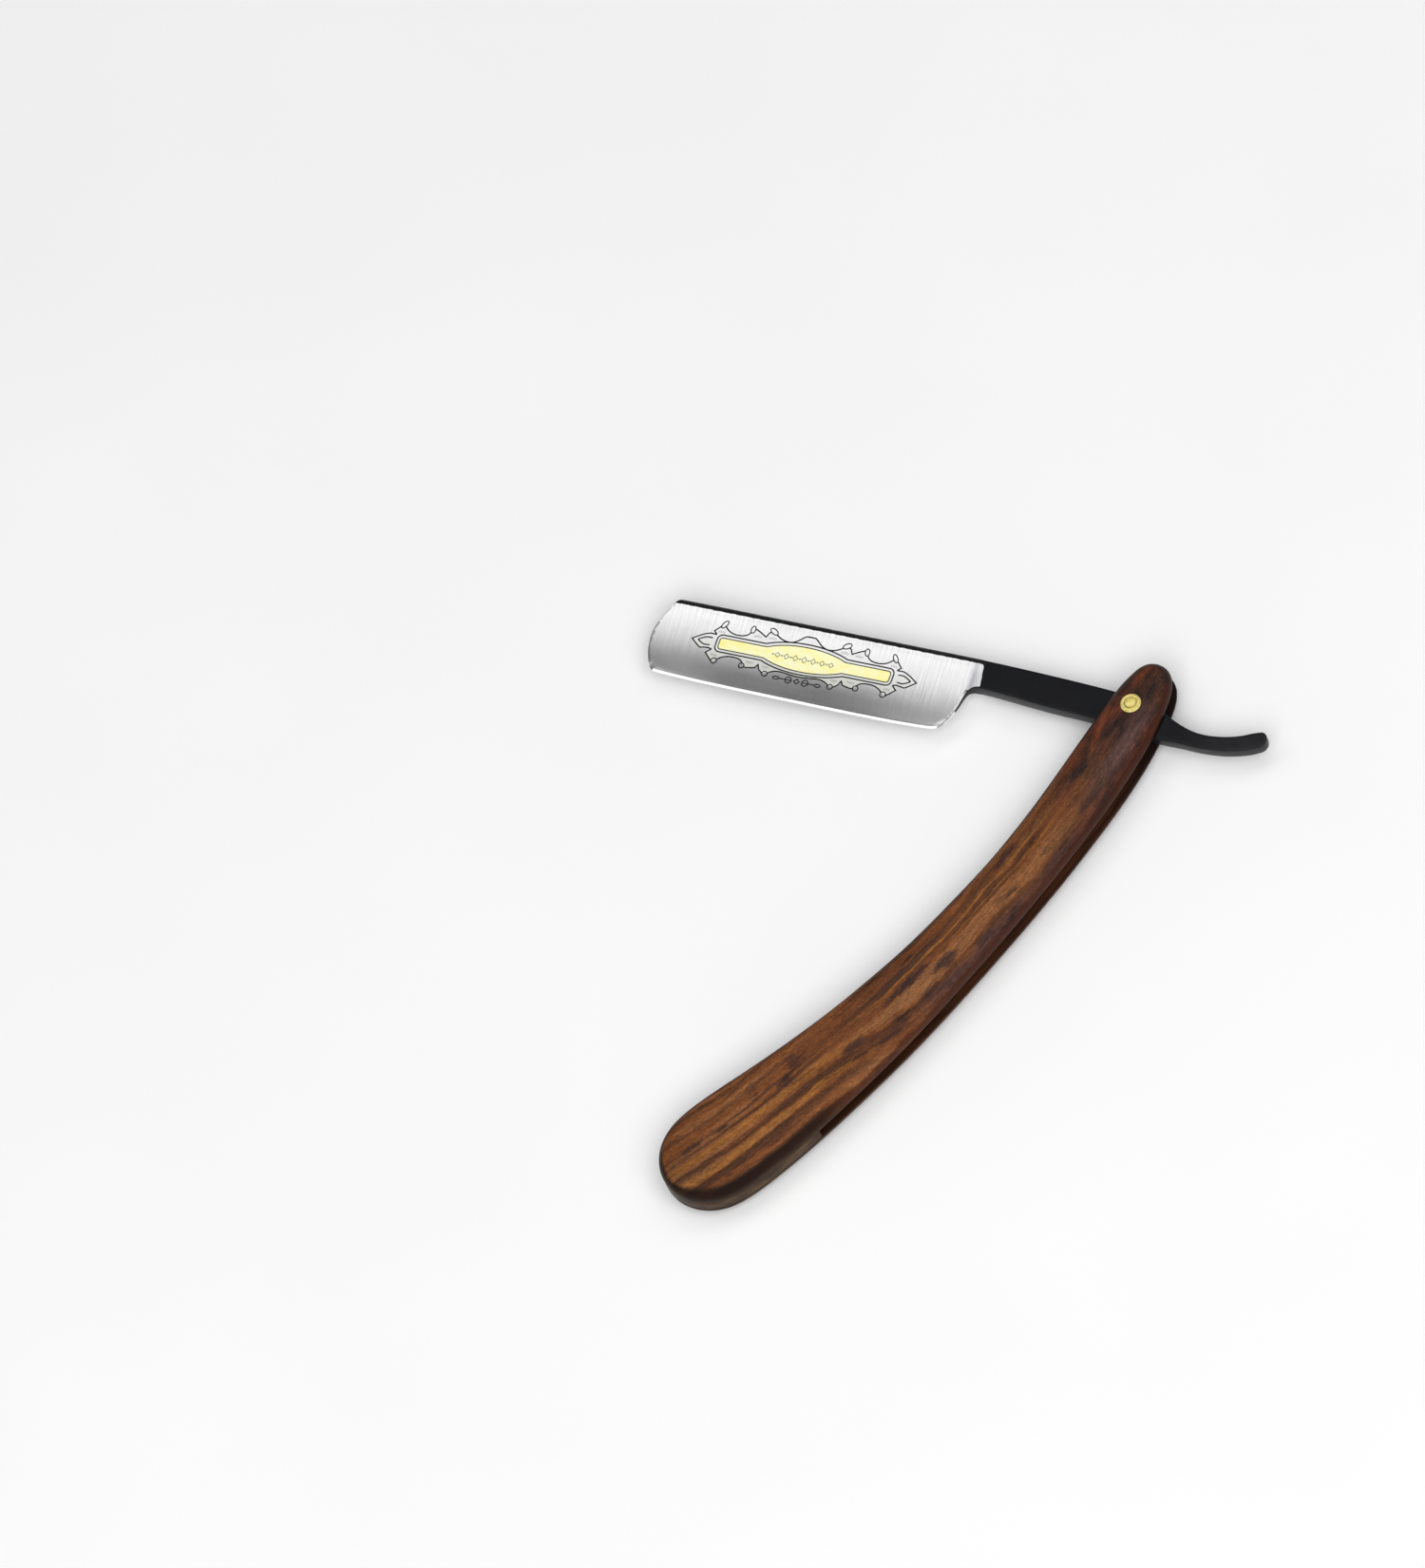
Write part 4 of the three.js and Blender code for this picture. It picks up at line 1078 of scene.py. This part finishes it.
C_T, C_N = 83.7, 3.65     # centre of the ornament on the face


def place(path):
    """(s, m) of the ornament, m towards the spine, into blade t, n."""
    p = np.asarray(path, float)
    return np.c_[C_T + p[:, 0], C_N - p[:, 1]]


def bez(p0, p1, p2, p3, n=14):
    s = np.linspace(0, 1, n)[:, None]
    p0, p1, p2, p3 = (np.array(q, float) for q in (p0, p1, p2, p3))
    return (1 - s) ** 3 * p0 + 3 * (1 - s) ** 2 * s * p1 + 3 * (1 - s) * s**2 * p2 + s**3 * p3


def join(*parts):
    out = [np.asarray(parts[0], float)]
    for q in parts[1:]:
        q = np.asarray(q, float)
        out.append(q[1:] if np.allclose(out[-1][-1], q[0], atol=1e-6) else q)
    return np.vstack(out)


def arc(cx, cy, r, a0, a1, n=18):
    a = np.radians(np.linspace(a0, a1, n))
    return np.c_[cx + r * np.cos(a), cy + r * np.sin(a)]


class Ribbons:
    """Thin closed strips that lie on the blade's upper face."""

    def __init__(self):
        self.v, self.f = [], []

    def strip(self, path, width, closed=False, proud=0.018, taper=False):
        p = np.asarray(path, float)
        if closed and np.allclose(p[0], p[-1]):
            p = p[:-1]
        # steps of about 0.3 mm follow the curved face
        out = []
        count = len(p) if closed else len(p) - 1
        for i in range(count):
            a, b = p[i], p[(i + 1) % len(p)]
            k = max(1, int(math.ceil(np.linalg.norm(b - a) / 0.45)))
            out += [a + (b - a) * j / k for j in range(k)]
        if not closed:
            out.append(p[-1])
        p = np.array(out)
        n = len(p)
        prev = np.roll(p, 1, axis=0) if closed else np.vstack([2 * p[:1] - p[1:2], p[:-1]])
        nxt = np.roll(p, -1, axis=0) if closed else np.vstack([p[1:], 2 * p[-1:] - p[-2:-1]])
        a = p - prev
        b = nxt - p
        a /= np.maximum(np.linalg.norm(a, axis=1), 1e-9)[:, None]
        b /= np.maximum(np.linalg.norm(b, axis=1), 1e-9)[:, None]
        t = a + b
        ln = np.linalg.norm(t, axis=1)
        t = np.where(ln[:, None] > 1e-6, t / np.maximum(ln, 1e-9)[:, None], a)
        side = np.c_[-t[:, 1], t[:, 0]]
        widen = 1 / np.clip((a * t).sum(1), 0.55, 1)
        half = width / 2 * widen
        if taper:
            s = np.linspace(0, 1, n)
            half = half * np.clip(np.minimum(s, 1 - s) * 6, 0.35, 1)
        lo, hi = p - side * half[:, None], p + side * half[:, None]
        base = len(self.v)
        for i in range(n):
            for q, z in ((lo[i], -0.03), (lo[i], proud), (hi[i], proud), (hi[i], -0.03)):
                self.v.append((q[0], q[1], MID_Z + float(top_z(q[0], q[1])) + z))
        steps = n if closed else n - 1
        for i in range(steps):
            j = (i + 1) % n
            for k in range(4):
                m = (k + 1) % 4
                self.f.append((base + i * 4 + k, base + i * 4 + m, base + j * 4 + m, base + j * 4 + k))
        if not closed:
            self.f.append((base, base + 1, base + 2, base + 3))
            e = base + (n - 1) * 4
            self.f.append((e + 3, e + 2, e + 1, e))


def panel_outline(grow):
    """The gilt panel: two arms with round ends and a lens in the middle."""
    arm, lens = 1.30 + grow, 3.02 + grow
    half, reach = 10.0 + grow * 0.55, 21.95 + grow
    r = min(0.62 + grow * 0.8, arm)
    one = join(
        bez((0, lens), (half * 0.40, lens), (half * 0.74, lens - 0.62), (half, arm + 0.02), 16),
        [(half, arm + 0.02), (half + 0.9, arm), (reach - r, arm)],
        arc(reach - r, arm - r, r, 90, 0, 9),
        [(reach, arm - r), (reach, 0)],
    )
    lower = one[::-1] * [1, -1]
    right = join(one, lower)
    left = right[::-1] * [-1, 1]
    return join(right, left)[:-1]


def mirrored(path):
    p = np.asarray(path, float)
    return [p, p * [-1, 1]]


panel = place(panel_outline(0.0))


def build_panel(name, mat):
    loop = resample(catmull(panel, closed=True, per=4), 0.5, 8.0)
    if area2(loop) < 0:
        loop = loop[::-1]
    n = len(loop)
    pts = grid(loop, 0.8, 0.55, 0.25)
    allp, tris = triangulate([loop], pts)
    sh = Shell()
    z = MID_Z + top_z(allp[:, 0], allp[:, 1])
    a = sh.add(allp, z - 0.03)
    b = sh.add(allp, z + 0.011)
    sh.band(a, b, n)
    sh.tris(tris, list(range(a, a + len(allp))), flip=True)
    sh.tris(tris, list(range(b, b + len(allp))))
    return make_mesh(name, sh.v, sh.f, [mat], sh.m, sharp=40, turn=True)


gold_panel = build_panel("gold_panel", gilt("gold_wash"))

dark = Ribbons()
LINE = 0.33
dark.strip(place(panel_outline(0.12)), 0.24, closed=True)
dark.strip(place(panel_outline(0.86)), LINE, closed=True)

# one quarter of the border above the panel and one below it: scallops that
# run out into curls, with a notch between neighbouring curls
upper = join(
    [(0.0, 5.75), (1.15, 5.70)],
    bez((1.15, 5.70), (2.3, 5.1), (2.9, 4.0), (4.6, 3.62)),
    bez((4.6, 3.62), (6.2, 3.45), (7.4, 3.95), (8.6, 4.75)),
    bez((8.6, 4.75), (9.3, 5.25), (10.1, 5.35), (10.6, 4.75)),
    [(10.6, 4.75), (11.15, 3.70), (11.7, 4.00), (12.9, 4.62), (13.9, 5.05)],
    bez((13.9, 5.05), (14.5, 5.2), (15.0, 4.75), (15.2, 3.95)),
    bez((15.2, 3.95), (15.7, 2.95), (17.3, 2.72), (18.6, 2.80)),
    bez((18.6, 2.80), (20.2, 2.95), (21.0, 3.6), (21.6, 4.25)),
    [(21.6, 4.25), (22.6, 4.35), (24.15, 2.75), (23.3, 1.98)],
)
lower = join(
    bez((0.0, -4.45), (1.4, -4.45), (2.6, -4.3), (3.8, -4.15)),
    bez((3.8, -4.15), (5.4, -3.9), (6.9, -4.2), (7.7, -5.0)),
    [(7.7, -5.0), (9.1, -5.35), (10.2, -4.55), (10.75, -3.35), (11.4, -4.35), (13.6, -4.75), (14.1, -4.5)],
    bez((14.1, -4.5), (14.8, -3.9), (14.9, -3.3), (15.9, -2.95)),
    bez((15.9, -2.95), (17.8, -2.55), (19.8, -2.75), (21.1, -4.0)),
    [(21.1, -4.0), (22.3, -5.05), (24.6, -2.95), (23.4, -1.85)],
)
finial = join(
    [(23.3, 1.98), (24.9, 2.02)],
    bez((24.9, 2.02), (26.4, 1.65), (27.7, 0.75), (29.0, -0.12)),
    bez((29.0, -0.12), (27.9, -0.9), (27.3, -1.5), (26.4, -1.95)),
    [(26.4, -1.95), (25.4, -1.75), (24.3, -1.62), (23.4, -1.85)],
)
kite_up = join([(24.0, 0.98), (25.2, 1.0)], bez((25.2, 1.0), (26.2, 0.8), (26.8, 0.3), (27.5, -0.08)))
kite_dn = join([(27.5, -0.08)], bez((27.5, -0.08), (26.7, -0.55), (26.2, -0.9), (25.5, -1.0)), [(25.5, -1.0), (24.2, -0.88)])


def curl(cx, cy, a, b, lean):
    """A closed loop at the end of a scallop, leaning by lean degrees."""
    q = arc(0, 0, 1.0, 0, 360, 25) * [a, b]
    c, sn = math.cos(math.radians(lean)), math.sin(math.radians(lean))
    return np.c_[cx + q[:, 0] * c - q[:, 1] * sn, cy + q[:, 0] * sn + q[:, 1] * c]


CURLS = ((9.45, 5.35, 1.12, 0.58, 26), (14.75, 4.85, 0.55, 0.86, 8), (22.05, 4.72, 0.52, 1.08, 34),
         (8.45, -5.35, 0.66, 0.62, 0), (14.75, -4.45, 0.66, 0.66, 0), (21.85, -4.60, 0.70, 0.70, 0))


def outside_curls(path):
    """The runs of a path that lie outside every curl."""
    path = np.asarray(path, float)
    q = [path[0]]
    for a, b in zip(path[:-1], path[1:]):
        k = max(1, int(math.ceil(np.linalg.norm(b - a) / 0.12)))
        q += [a + (b - a) * j / k for j in range(1, k + 1)]
    q = np.array(q)
    hidden = np.zeros(len(q), bool)
    for cx, cy, a, b, lean in CURLS:
        c, sn = math.cos(math.radians(lean)), math.sin(math.radians(lean))
        dx, dy = q[:, 0] - cx, q[:, 1] - cy
        u, v = dx * c + dy * sn, -dx * sn + dy * c
        hidden |= (u / a) ** 2 + (v / b) ** 2 < 0.92
    runs, run = [], []
    for point, h in zip(q, hidden):
        if h:
            if len(run) > 2:
                runs.append(np.array(run))
            run = []
        else:
            run.append(point)
    if len(run) > 2:
        runs.append(np.array(run))
    return runs


for path in (upper, lower, finial, kite_up, kite_dn):
    for run in outside_curls(path):
        for q in mirrored(run):
            dark.strip(place(q), LINE)
for k in CURLS:
    for q in mirrored(curl(*k)):
        dark.strip(place(q), 0.27, closed=True)
# under the middle: a lozenge between two rings on a short bar
for q in mirrored(arc(2.15, -5.72, 0.78, 0, 360, 25) * [1, 1]):
    dark.strip(place(q), 0.27, closed=True)
dark.strip(place([(0, -5.12), (0.72, -5.72), (0, -6.32), (-0.72, -5.72)]), 0.27, closed=True)
for q in mirrored([(1.5, -5.72), (4.6, -5.72)]):
    dark.strip(place(q), 0.25)
for q in mirrored(curl(5.35, -5.72, 0.78, 0.36, 0)):
    dark.strip(place(q), 0.27, closed=True)

fine = Ribbons()
# hatching inside the border, and a row of lozenges along the panel's middle
for cx, cy, k, m in ((9.4, 3.9, -1, 5), (13.2, 3.7, -1, 5), (22.3, 3.05, -1, 4), (8.9, -3.9, 1, 4), (13.2, -3.5, 1, 5), (22.5, -3.4, 1, 4)):
    for i in range(m):
        s0 = cx - 0.20 * m + 0.42 * i
        top = cy - k * (0.22 - 0.12 * abs(i - m / 2 + 0.5))
        for q in mirrored([(s0, top), (s0 + 0.14, top + k * (0.80 - 0.12 * abs(i - m / 2 + 0.5)))]):
            fine.strip(place(q), 0.13, taper=True, proud=0.018)
for i in range(-3, 4):
    cx = i * 2.30
    h = 0.78 - 0.07 * abs(i)
    fine.strip(place([(cx - 0.66, 0), (cx, h), (cx + 0.66, 0), (cx, -h)]), 0.17, closed=True, proud=0.020)
    fine.strip(place(curl(cx + 1.15, 0, 0.16, 0.16, 0)), 0.14, closed=True, proud=0.020)


def build_ground(name, mat):
    """The matted ground between the border and the panel."""
    half = join(upper, finial, lower[::-1])
    loop = np.vstack([half, (half * [-1, 1])[::-1][1:-1]])
    loop = place(loop)
    out = []
    for a, b in zip(loop, np.roll(loop, -1, axis=0)):
        k = max(1, int(math.ceil(np.linalg.norm(b - a) / 0.5)))
        out += [a + (b - a) * j / k for j in range(k)]
    loop = np.array(out)
    keep = np.r_[True, np.linalg.norm(np.diff(loop, axis=0), axis=1) > 0.02]
    loop = loop[keep]
    if area2(loop) < 0:
        loop = loop[::-1]
    n = len(loop)
    allp, tris = triangulate([loop], grid(loop, 0.8, 0.55, 0.22))
    sh = Shell()
    z = MID_Z + top_z(allp[:, 0], allp[:, 1])
    a = sh.add(allp, z - 0.03)
    b = sh.add(allp, z + 0.005)
    sh.band(a, b, n)
    sh.tris(tris, list(range(a, a + len(allp))), flip=True)
    sh.tris(tris, list(range(b, b + len(allp))))
    return make_mesh(name, sh.v, sh.f, [mat], sh.m, sharp=40, turn=True)


matted_ground = build_ground("matted_ground", frosted("matted_steel"))
etched_lines = make_mesh("etched_lines", dark.v, dark.f, [etch("etch_dark", 0.012)], sharp=40, turn=True)
etched_fine = make_mesh("etched_fine", fine.v, fine.f, [etch("etch_grey", 0.12)], sharp=40, turn=True)

# --------------------------------------------------------------- pin, washers


def lathe(name, rows, mat, seg=128, on_axis=False, shape=None, cavity=None, sharp=40, mirror=False):
    """Turns [radius, height] rows about the pivot axis.  on_axis closes it
    at its first and last rows, otherwise the profile closes on itself."""
    rows = [(r, -z) for r, z in rows] if mirror else list(rows)
    v, f, cav = [], [], []
    a = np.arange(seg) * 2 * math.pi / seg
    for k, (r, z) in enumerate(rows):
        if on_axis and k in (0, len(rows) - 1):
            v.append((0.0, 0.0, z))
            cav.append(0.0)
            continue
        for b in a:
            x, y, zz = r * math.cos(b), r * math.sin(b), z
            if shape:
                x, y, zz = shape(x, y, zz, r)
            v.append((x, y, zz))
            cav.append(cavity(r, abs(z)) if cavity else 0.0)
    def start(k):
        return (0 if k == 0 else 1 + (k - 1) * seg) if on_axis else k * seg
    last = len(rows) - 1
    for k in range(last if on_axis else len(rows)):
        m = (k + 1) % len(rows)
        for i in range(seg):
            j = (i + 1) % seg
            if on_axis and k == 0:
                f.append((0, start(1) + j, start(1) + i))
            elif on_axis and m == last:
                f.append((start(k) + i, start(k) + j, start(last)))
            else:
                f.append((start(k) + i, start(k) + j, start(m) + j, start(m) + i))
    v = np.array(v)
    v[:, 2] += MID_Z
    return make_mesh(name, v, f, [mat], attrs={"cavity": cav}, sharp=sharp)


FOOT = 2.05 + 2.80 + 0.02
HEAD_FOOT = FOOT + 0.44


def dense(rows, step=0.09):
    out = [rows[0]]
    for a, b in zip(rows[:-1], rows[1:]):
        k = max(1, int(math.hypot(b[0] - a[0], b[1] - a[1]) / step))
        out += [(a[0] + (b[0] - a[0]) * i / k, a[1] + (b[1] - a[1]) * i / k) for i in range(1, k + 1)]
    return out


def smooth_rows(rows, step=0.07):
    p = catmull(rows, per=12)
    return [tuple(q) for q in resample(p, step, 9, closed=False, shortest=0.015)]


pin_brass = brass("pin_brass", hammered=1.0)
washer_brass = brass("washer_brass", hammered=0.25)
bearing_brass = brass("bearing_brass", deep=True)

dome = smooth_rows([(1.26, FOOT + 0.40), (1.36, FOOT + 0.40), (1.50, FOOT + 0.50), (1.64, FOOT + 0.63), (1.78, FOOT + 0.69),
                    (1.92, FOOT + 0.70), (2.12, FOOT + 0.60), (2.34, FOOT + 0.42), (2.46, FOOT + 0.24), (2.50, FOOT + 0.12)])
washer_rows = dome + [(2.50, FOOT + 0.03), (2.47, FOOT), (1.26, FOOT)]
groove = lambda r, z: float(max(np.clip(1 - abs(r - 1.40) / 0.16, 0, 1), np.clip((r - 2.44) / 0.06, 0, 1))) if z > FOOT + 0.02 else 0.0


def dented(seed, deep):
    """A hand-hammered look: shallow flats and a slightly uneven round."""
    rng = np.random.default_rng(seed)
    spots = [(rng.uniform(0, 6.28), rng.uniform(0.2, 2.4), rng.uniform(0.30, 0.55), rng.uniform(0.3, 1.0)) for _ in range(26)]

    def shape(x, y, z, r):
        a = math.atan2(y, x)
        grow = 1 + deep * 0.20 * (math.sin(2 * a + seed) * 0.6 + math.sin(3 * a + 2.1 * seed) * 0.4)
        h = abs(z)
        if h > FOOT + 0.2:
            d = 0.0
            for sa, sr, sw, sd in spots:
                q = math.hypot(x - sr * math.cos(sa), y - sr * math.sin(sa)) / sw
                if q < 1:
                    d = max(d, sd * (1 - q * q) ** 2)
            z -= math.copysign(deep * d * 0.30, z)
            if r > 0.3:
                x, y = x * grow, y * grow
        return x, y, z

    return shape


washer_front = lathe("washer_front", washer_rows, washer_brass, cavity=groove, shape=dented(3, 0.05), sharp=50)
washer_back = lathe("washer_back", washer_rows, washer_brass, cavity=groove, shape=dented(9, 0.05), sharp=50, mirror=True)

head = smooth_rows([(1.20, HEAD_FOOT), (1.36, HEAD_FOOT + 0.01), (1.42, HEAD_FOOT + 0.10), (1.36, HEAD_FOOT + 0.22), (1.20, HEAD_FOOT + 0.33),
                    (1.02, 5.84), (0.84, 5.915), (0.62, 5.945), (0.34, 5.95), (0.12, 5.95)])
pin_rows = ([(0.0, -5.95)] + [(r, -z) for r, z in head[::-1]] + [(1.2, -HEAD_FOOT + 0.05), (1.2, HEAD_FOOT - 0.05)]
            + head + [(0.0, 5.95)])
rim_dark = lambda r, z: float(np.clip((r - 1.22) / 0.18, 0, 1)) if z > HEAD_FOOT - 0.1 else 0.0
pin = lathe("pin_shaft", pin_rows, pin_brass, on_axis=True, cavity=rim_dark, shape=None, sharp=50)


def hammer_pin(ob):
    """Moves the upper head's rim a little off the axis and dents both heads,
    leaving the shank and the seats as they are."""
    shape_up, shape_dn = dented(14, 0.10), dented(21, 0.10)
    for v in ob.data.vertices:
        x, y, z = v.co.x * 1000, v.co.y * 1000, v.co.z * 1000 - MID_Z
        if abs(z) > HEAD_FOOT + 0.02:
            r = math.hypot(x, y)
            nx, ny, nz = (shape_up if z > 0 else shape_dn)(x, y, z, r)
            k = min(1.0, (abs(z) - HEAD_FOOT - 0.02) / 0.2)
            nz = math.copysign(min(abs(nz), 5.95), nz)
            if z < 0 and r < 0.9:
                nz = z
            v.co = Vector((x + (nx - x) * k, y + (ny - y) * k, z + (nz - z) * k + MID_Z)) / 1000
    ob.data.update()


hammer_pin(pin)


def bearing(name, up):
    z0, z1 = 1.67, 2.03
    z0 = 1.73
    rows = [(1.26, z0), (3.04, z0), (3.10, z0 + 0.05), (3.10, z1 - 0.05), (3.04, z1), (1.26, z1)]
    return lathe(name, dense(rows, 0.25), bearing_brass, seg=96, mirror=up < 0)


bearing_front = bearing("bearing_front", 1)
bearing_back = bearing("bearing_back", -1)

# --------------------------------------------------------- bodies

for piece, body, node, slot in (
    (blade_body, "blade", "blade", "blade_steel"),
    (scale_front, "handle", "front_scale", "scale_wood"),
    (scale_back, "handle", "back_scale", "scale_wood"),
    (wedge_block, "handle", "wedge", "wedge_wood"),
    (pin, "handle", "pivot_pin", "pin_brass"),
    (washer_front, "handle", "front_outer_washer", "washer_brass"),
    (washer_back, "handle", "back_outer_washer", "washer_brass"),
    (bearing_front, "handle", "front_inner_washer", "bearing_brass"),
    (bearing_back, "handle", "back_inner_washer", "bearing_brass"),
    (gold_panel, "blade", None, "gold_wash"),
    (matted_ground, "blade", None, "blade_steel"),
    (etched_lines, "blade", None, "etched_line"),
    (etched_fine, "blade", None, "etched_line"),
):
    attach(piece, body)
    if node:
        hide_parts(node)

# ------------------------------------------------------------------- studio

U = Vector((0.9135, -0.4067, 0.0))      # along the picture's tilt axis
V = Vector((0.4067, 0.9135, 0.0))       # level, towards the camera

floor_mesh = bpy.data.meshes.new("studio_floor")
floor_mesh.from_pydata([(-12, -12, -0.0002), (12, -12, -0.0002), (12, 12, -0.0002), (-12, 12, -0.0002)], [], [(0, 1, 2, 3)])
floor = bpy.data.objects.new("studio_floor", floor_mesh)
scene.collection.objects.link(floor)
fg = Graph("studio_floor")
fx, fy, fz = fg.object_mm()
fn = fg.noise(fg.vec(fg.mul(fx, 0.01), fg.mul(fy, 0.01), 0.0), 1.0, 2.0, 0.5)
fg.shader(Base_Color=fg.ramp(fn, [(0.3, (0.90, 0.90, 0.90, 1)), (0.7, (0.92, 0.92, 0.92, 1))]))
fg.bsdf.inputs["Roughness"].default_value = 0.9
fg.bsdf.inputs["Specular IOR Level"].default_value = 0.1
floor_mesh.materials.append(fg.mat)

world = bpy.data.worlds.new("studio")
scene.world = world
world.use_nodes = True
wt = world.node_tree
wt.nodes.clear()
w_out = wt.nodes.new("ShaderNodeOutputWorld")
w_bg = wt.nodes.new("ShaderNodeBackground")
w_tc = wt.nodes.new("ShaderNodeTexCoord")
w_sp = wt.nodes.new("ShaderNodeSeparateXYZ")
w_mr = wt.nodes.new("ShaderNodeMapRange")
w_mr.interpolation_type = "SMOOTHSTEP"
wt.links.new(w_tc.outputs["Generated"], w_sp.inputs[0])
wt.links.new(w_sp.outputs[2], w_mr.inputs[0])
for s, v in zip(w_mr.inputs[1:], (0.10, 0.46, 0.95, 0.19)):
    s.default_value = v
# the horizon behind the razor is dimmer than the one on the camera's side
w_dot = wt.nodes.new("ShaderNodeVectorMath")
w_dot.operation = "DOT_PRODUCT"
w_dot.inputs[1].default_value = (0.4067, 0.9135, 0.0)
wt.links.new(w_tc.outputs["Generated"], w_dot.inputs[0])
w_side = wt.nodes.new("ShaderNodeMapRange")
for s, v in zip(w_side.inputs[1:], (-0.75, 0.15, 0.38, 1.0)):
    s.default_value = v
wt.links.new(w_dot.outputs["Value"], w_side.inputs[0])
w_mul = wt.nodes.new("ShaderNodeMath")
w_mul.operation = "MULTIPLY"
wt.links.new(w_mr.outputs[0], w_mul.inputs[0])
wt.links.new(w_side.outputs[0], w_mul.inputs[1])
wt.links.new(w_mul.outputs[0], w_bg.inputs["Strength"])
w_bg.inputs["Color"].default_value = (1, 1, 1, 1)
wt.links.new(w_bg.outputs[0], w_out.inputs["Surface"])


def softbox(name, centre, size_u, size_v, radiance, aim=(0.04, -0.02, 0.0), glossy=True):
    """A rectangular light whose long side lies along U, aimed at the razor."""
    data = bpy.data.lights.new(name, "AREA")
    data.shape = "RECTANGLE"
    data.size, data.size_y = size_u, size_v
    data.energy = radiance * math.pi * size_u * size_v
    ob = bpy.data.objects.new(name, data)
    scene.collection.objects.link(ob)
    ob.location = centre
    zdir = (Vector(centre) - Vector(aim)).normalized()
    xdir = (U - zdir * U.dot(zdir)).normalized()
    ydir = zdir.cross(xdir)
    ob.rotation_mode = "QUATERNION"
    ob.rotation_quaternion = Matrix((xdir, ydir, zdir)).transposed().to_quaternion()
    ob.visible_camera = False
    ob.visible_glossy = glossy
    return ob


def direction(tilt_deg, dist, along=0.0):
    """A place above the razor, tilted from straight up towards the camera."""
    a = math.radians(tilt_deg)
    return Vector((0.04, -0.02, 0.0)) + (Vector((0, 0, 1)) * math.cos(a) + V * math.sin(a)) * dist + U * along


softbox("key_softbox", direction(-14.5, 2.4), 4.4, 1.28, 1.10)
softbox("fill_softbox", direction(38, 2.6), 3.0, 2.0, 3.7, glossy=False)

# ------------------------------------------------------------------- camera

CX, CY = 750.0, 825.0
PIV = (1189.2, 737.9)
MINOR = (0.4347, 0.9006)
RATIO, S_PX, DIST, Z_TOP, X_ANGLE = 0.837, 4.52, 5000.0, 11.85, 204.0


def photo_camera():
    th = math.acos(RATIO)
    a = math.radians(-X_ANGLE)
    turn = lambda p: np.array([math.cos(a) * p[0] - math.sin(a) * p[1], math.sin(a) * p[0] + math.cos(a) * p[1], 0.0])
    eu, ev, ez = turn((1, 0)), turn((0, -1)), np.array([0, 0, 1.0])
    c = DIST * (math.cos(th) * ez + math.sin(th) * ev)
    fwd = -c / np.linalg.norm(c)
    right = eu
    down = np.cross(fwd, right)
    r0 = np.vstack([MINOR[1] * right + MINOR[0] * down, -MINOR[0] * right + MINOR[1] * down, fwd])
    f = S_PX * DIST
    for _ in range(2):
        t = np.array([(PIV[0] - CX) / f, (PIV[1] - CY) / f, 1.0])
        t /= np.linalg.norm(t)
        z = np.array([0, 0, 1.0])
        v = np.cross(z, t)
        sn = np.linalg.norm(v)
        k = v / sn
        kk = np.array([[0, -k[2], k[1]], [k[2], 0, -k[0]], [-k[1], k[0], 0]])
        rr = np.eye(3) + sn * kk + (1 - float(z @ t)) * kk @ kk
        rot = rr @ r0
        f = S_PX * DIST * t[2]
    data = bpy.data.cameras.new("photo_camera")
    data.sensor_fit = "HORIZONTAL"
    data.sensor_width = 36.0
    data.lens = f / 1500.0 * 36.0
    data.clip_start, data.clip_end = 0.1, 60.0
    ob = bpy.data.objects.new("photo_camera", data)
    scene.collection.objects.link(ob)
    m = Matrix(((*rot[0],), (*(-rot[1]),), (*(-rot[2]),))).transposed()
    ob.matrix_world = Matrix.Translation(Vector((c + np.array([0, 0, Z_TOP])) / 1000.0)) @ m.to_4x4()
    return ob


scene.camera = photo_camera()
scene.view_settings.view_transform = "Standard"
scene.view_settings.look = "None"
scene.view_settings.exposure = 0.0
scene.view_settings.gamma = 1.0

bpy.context.view_layer.update()
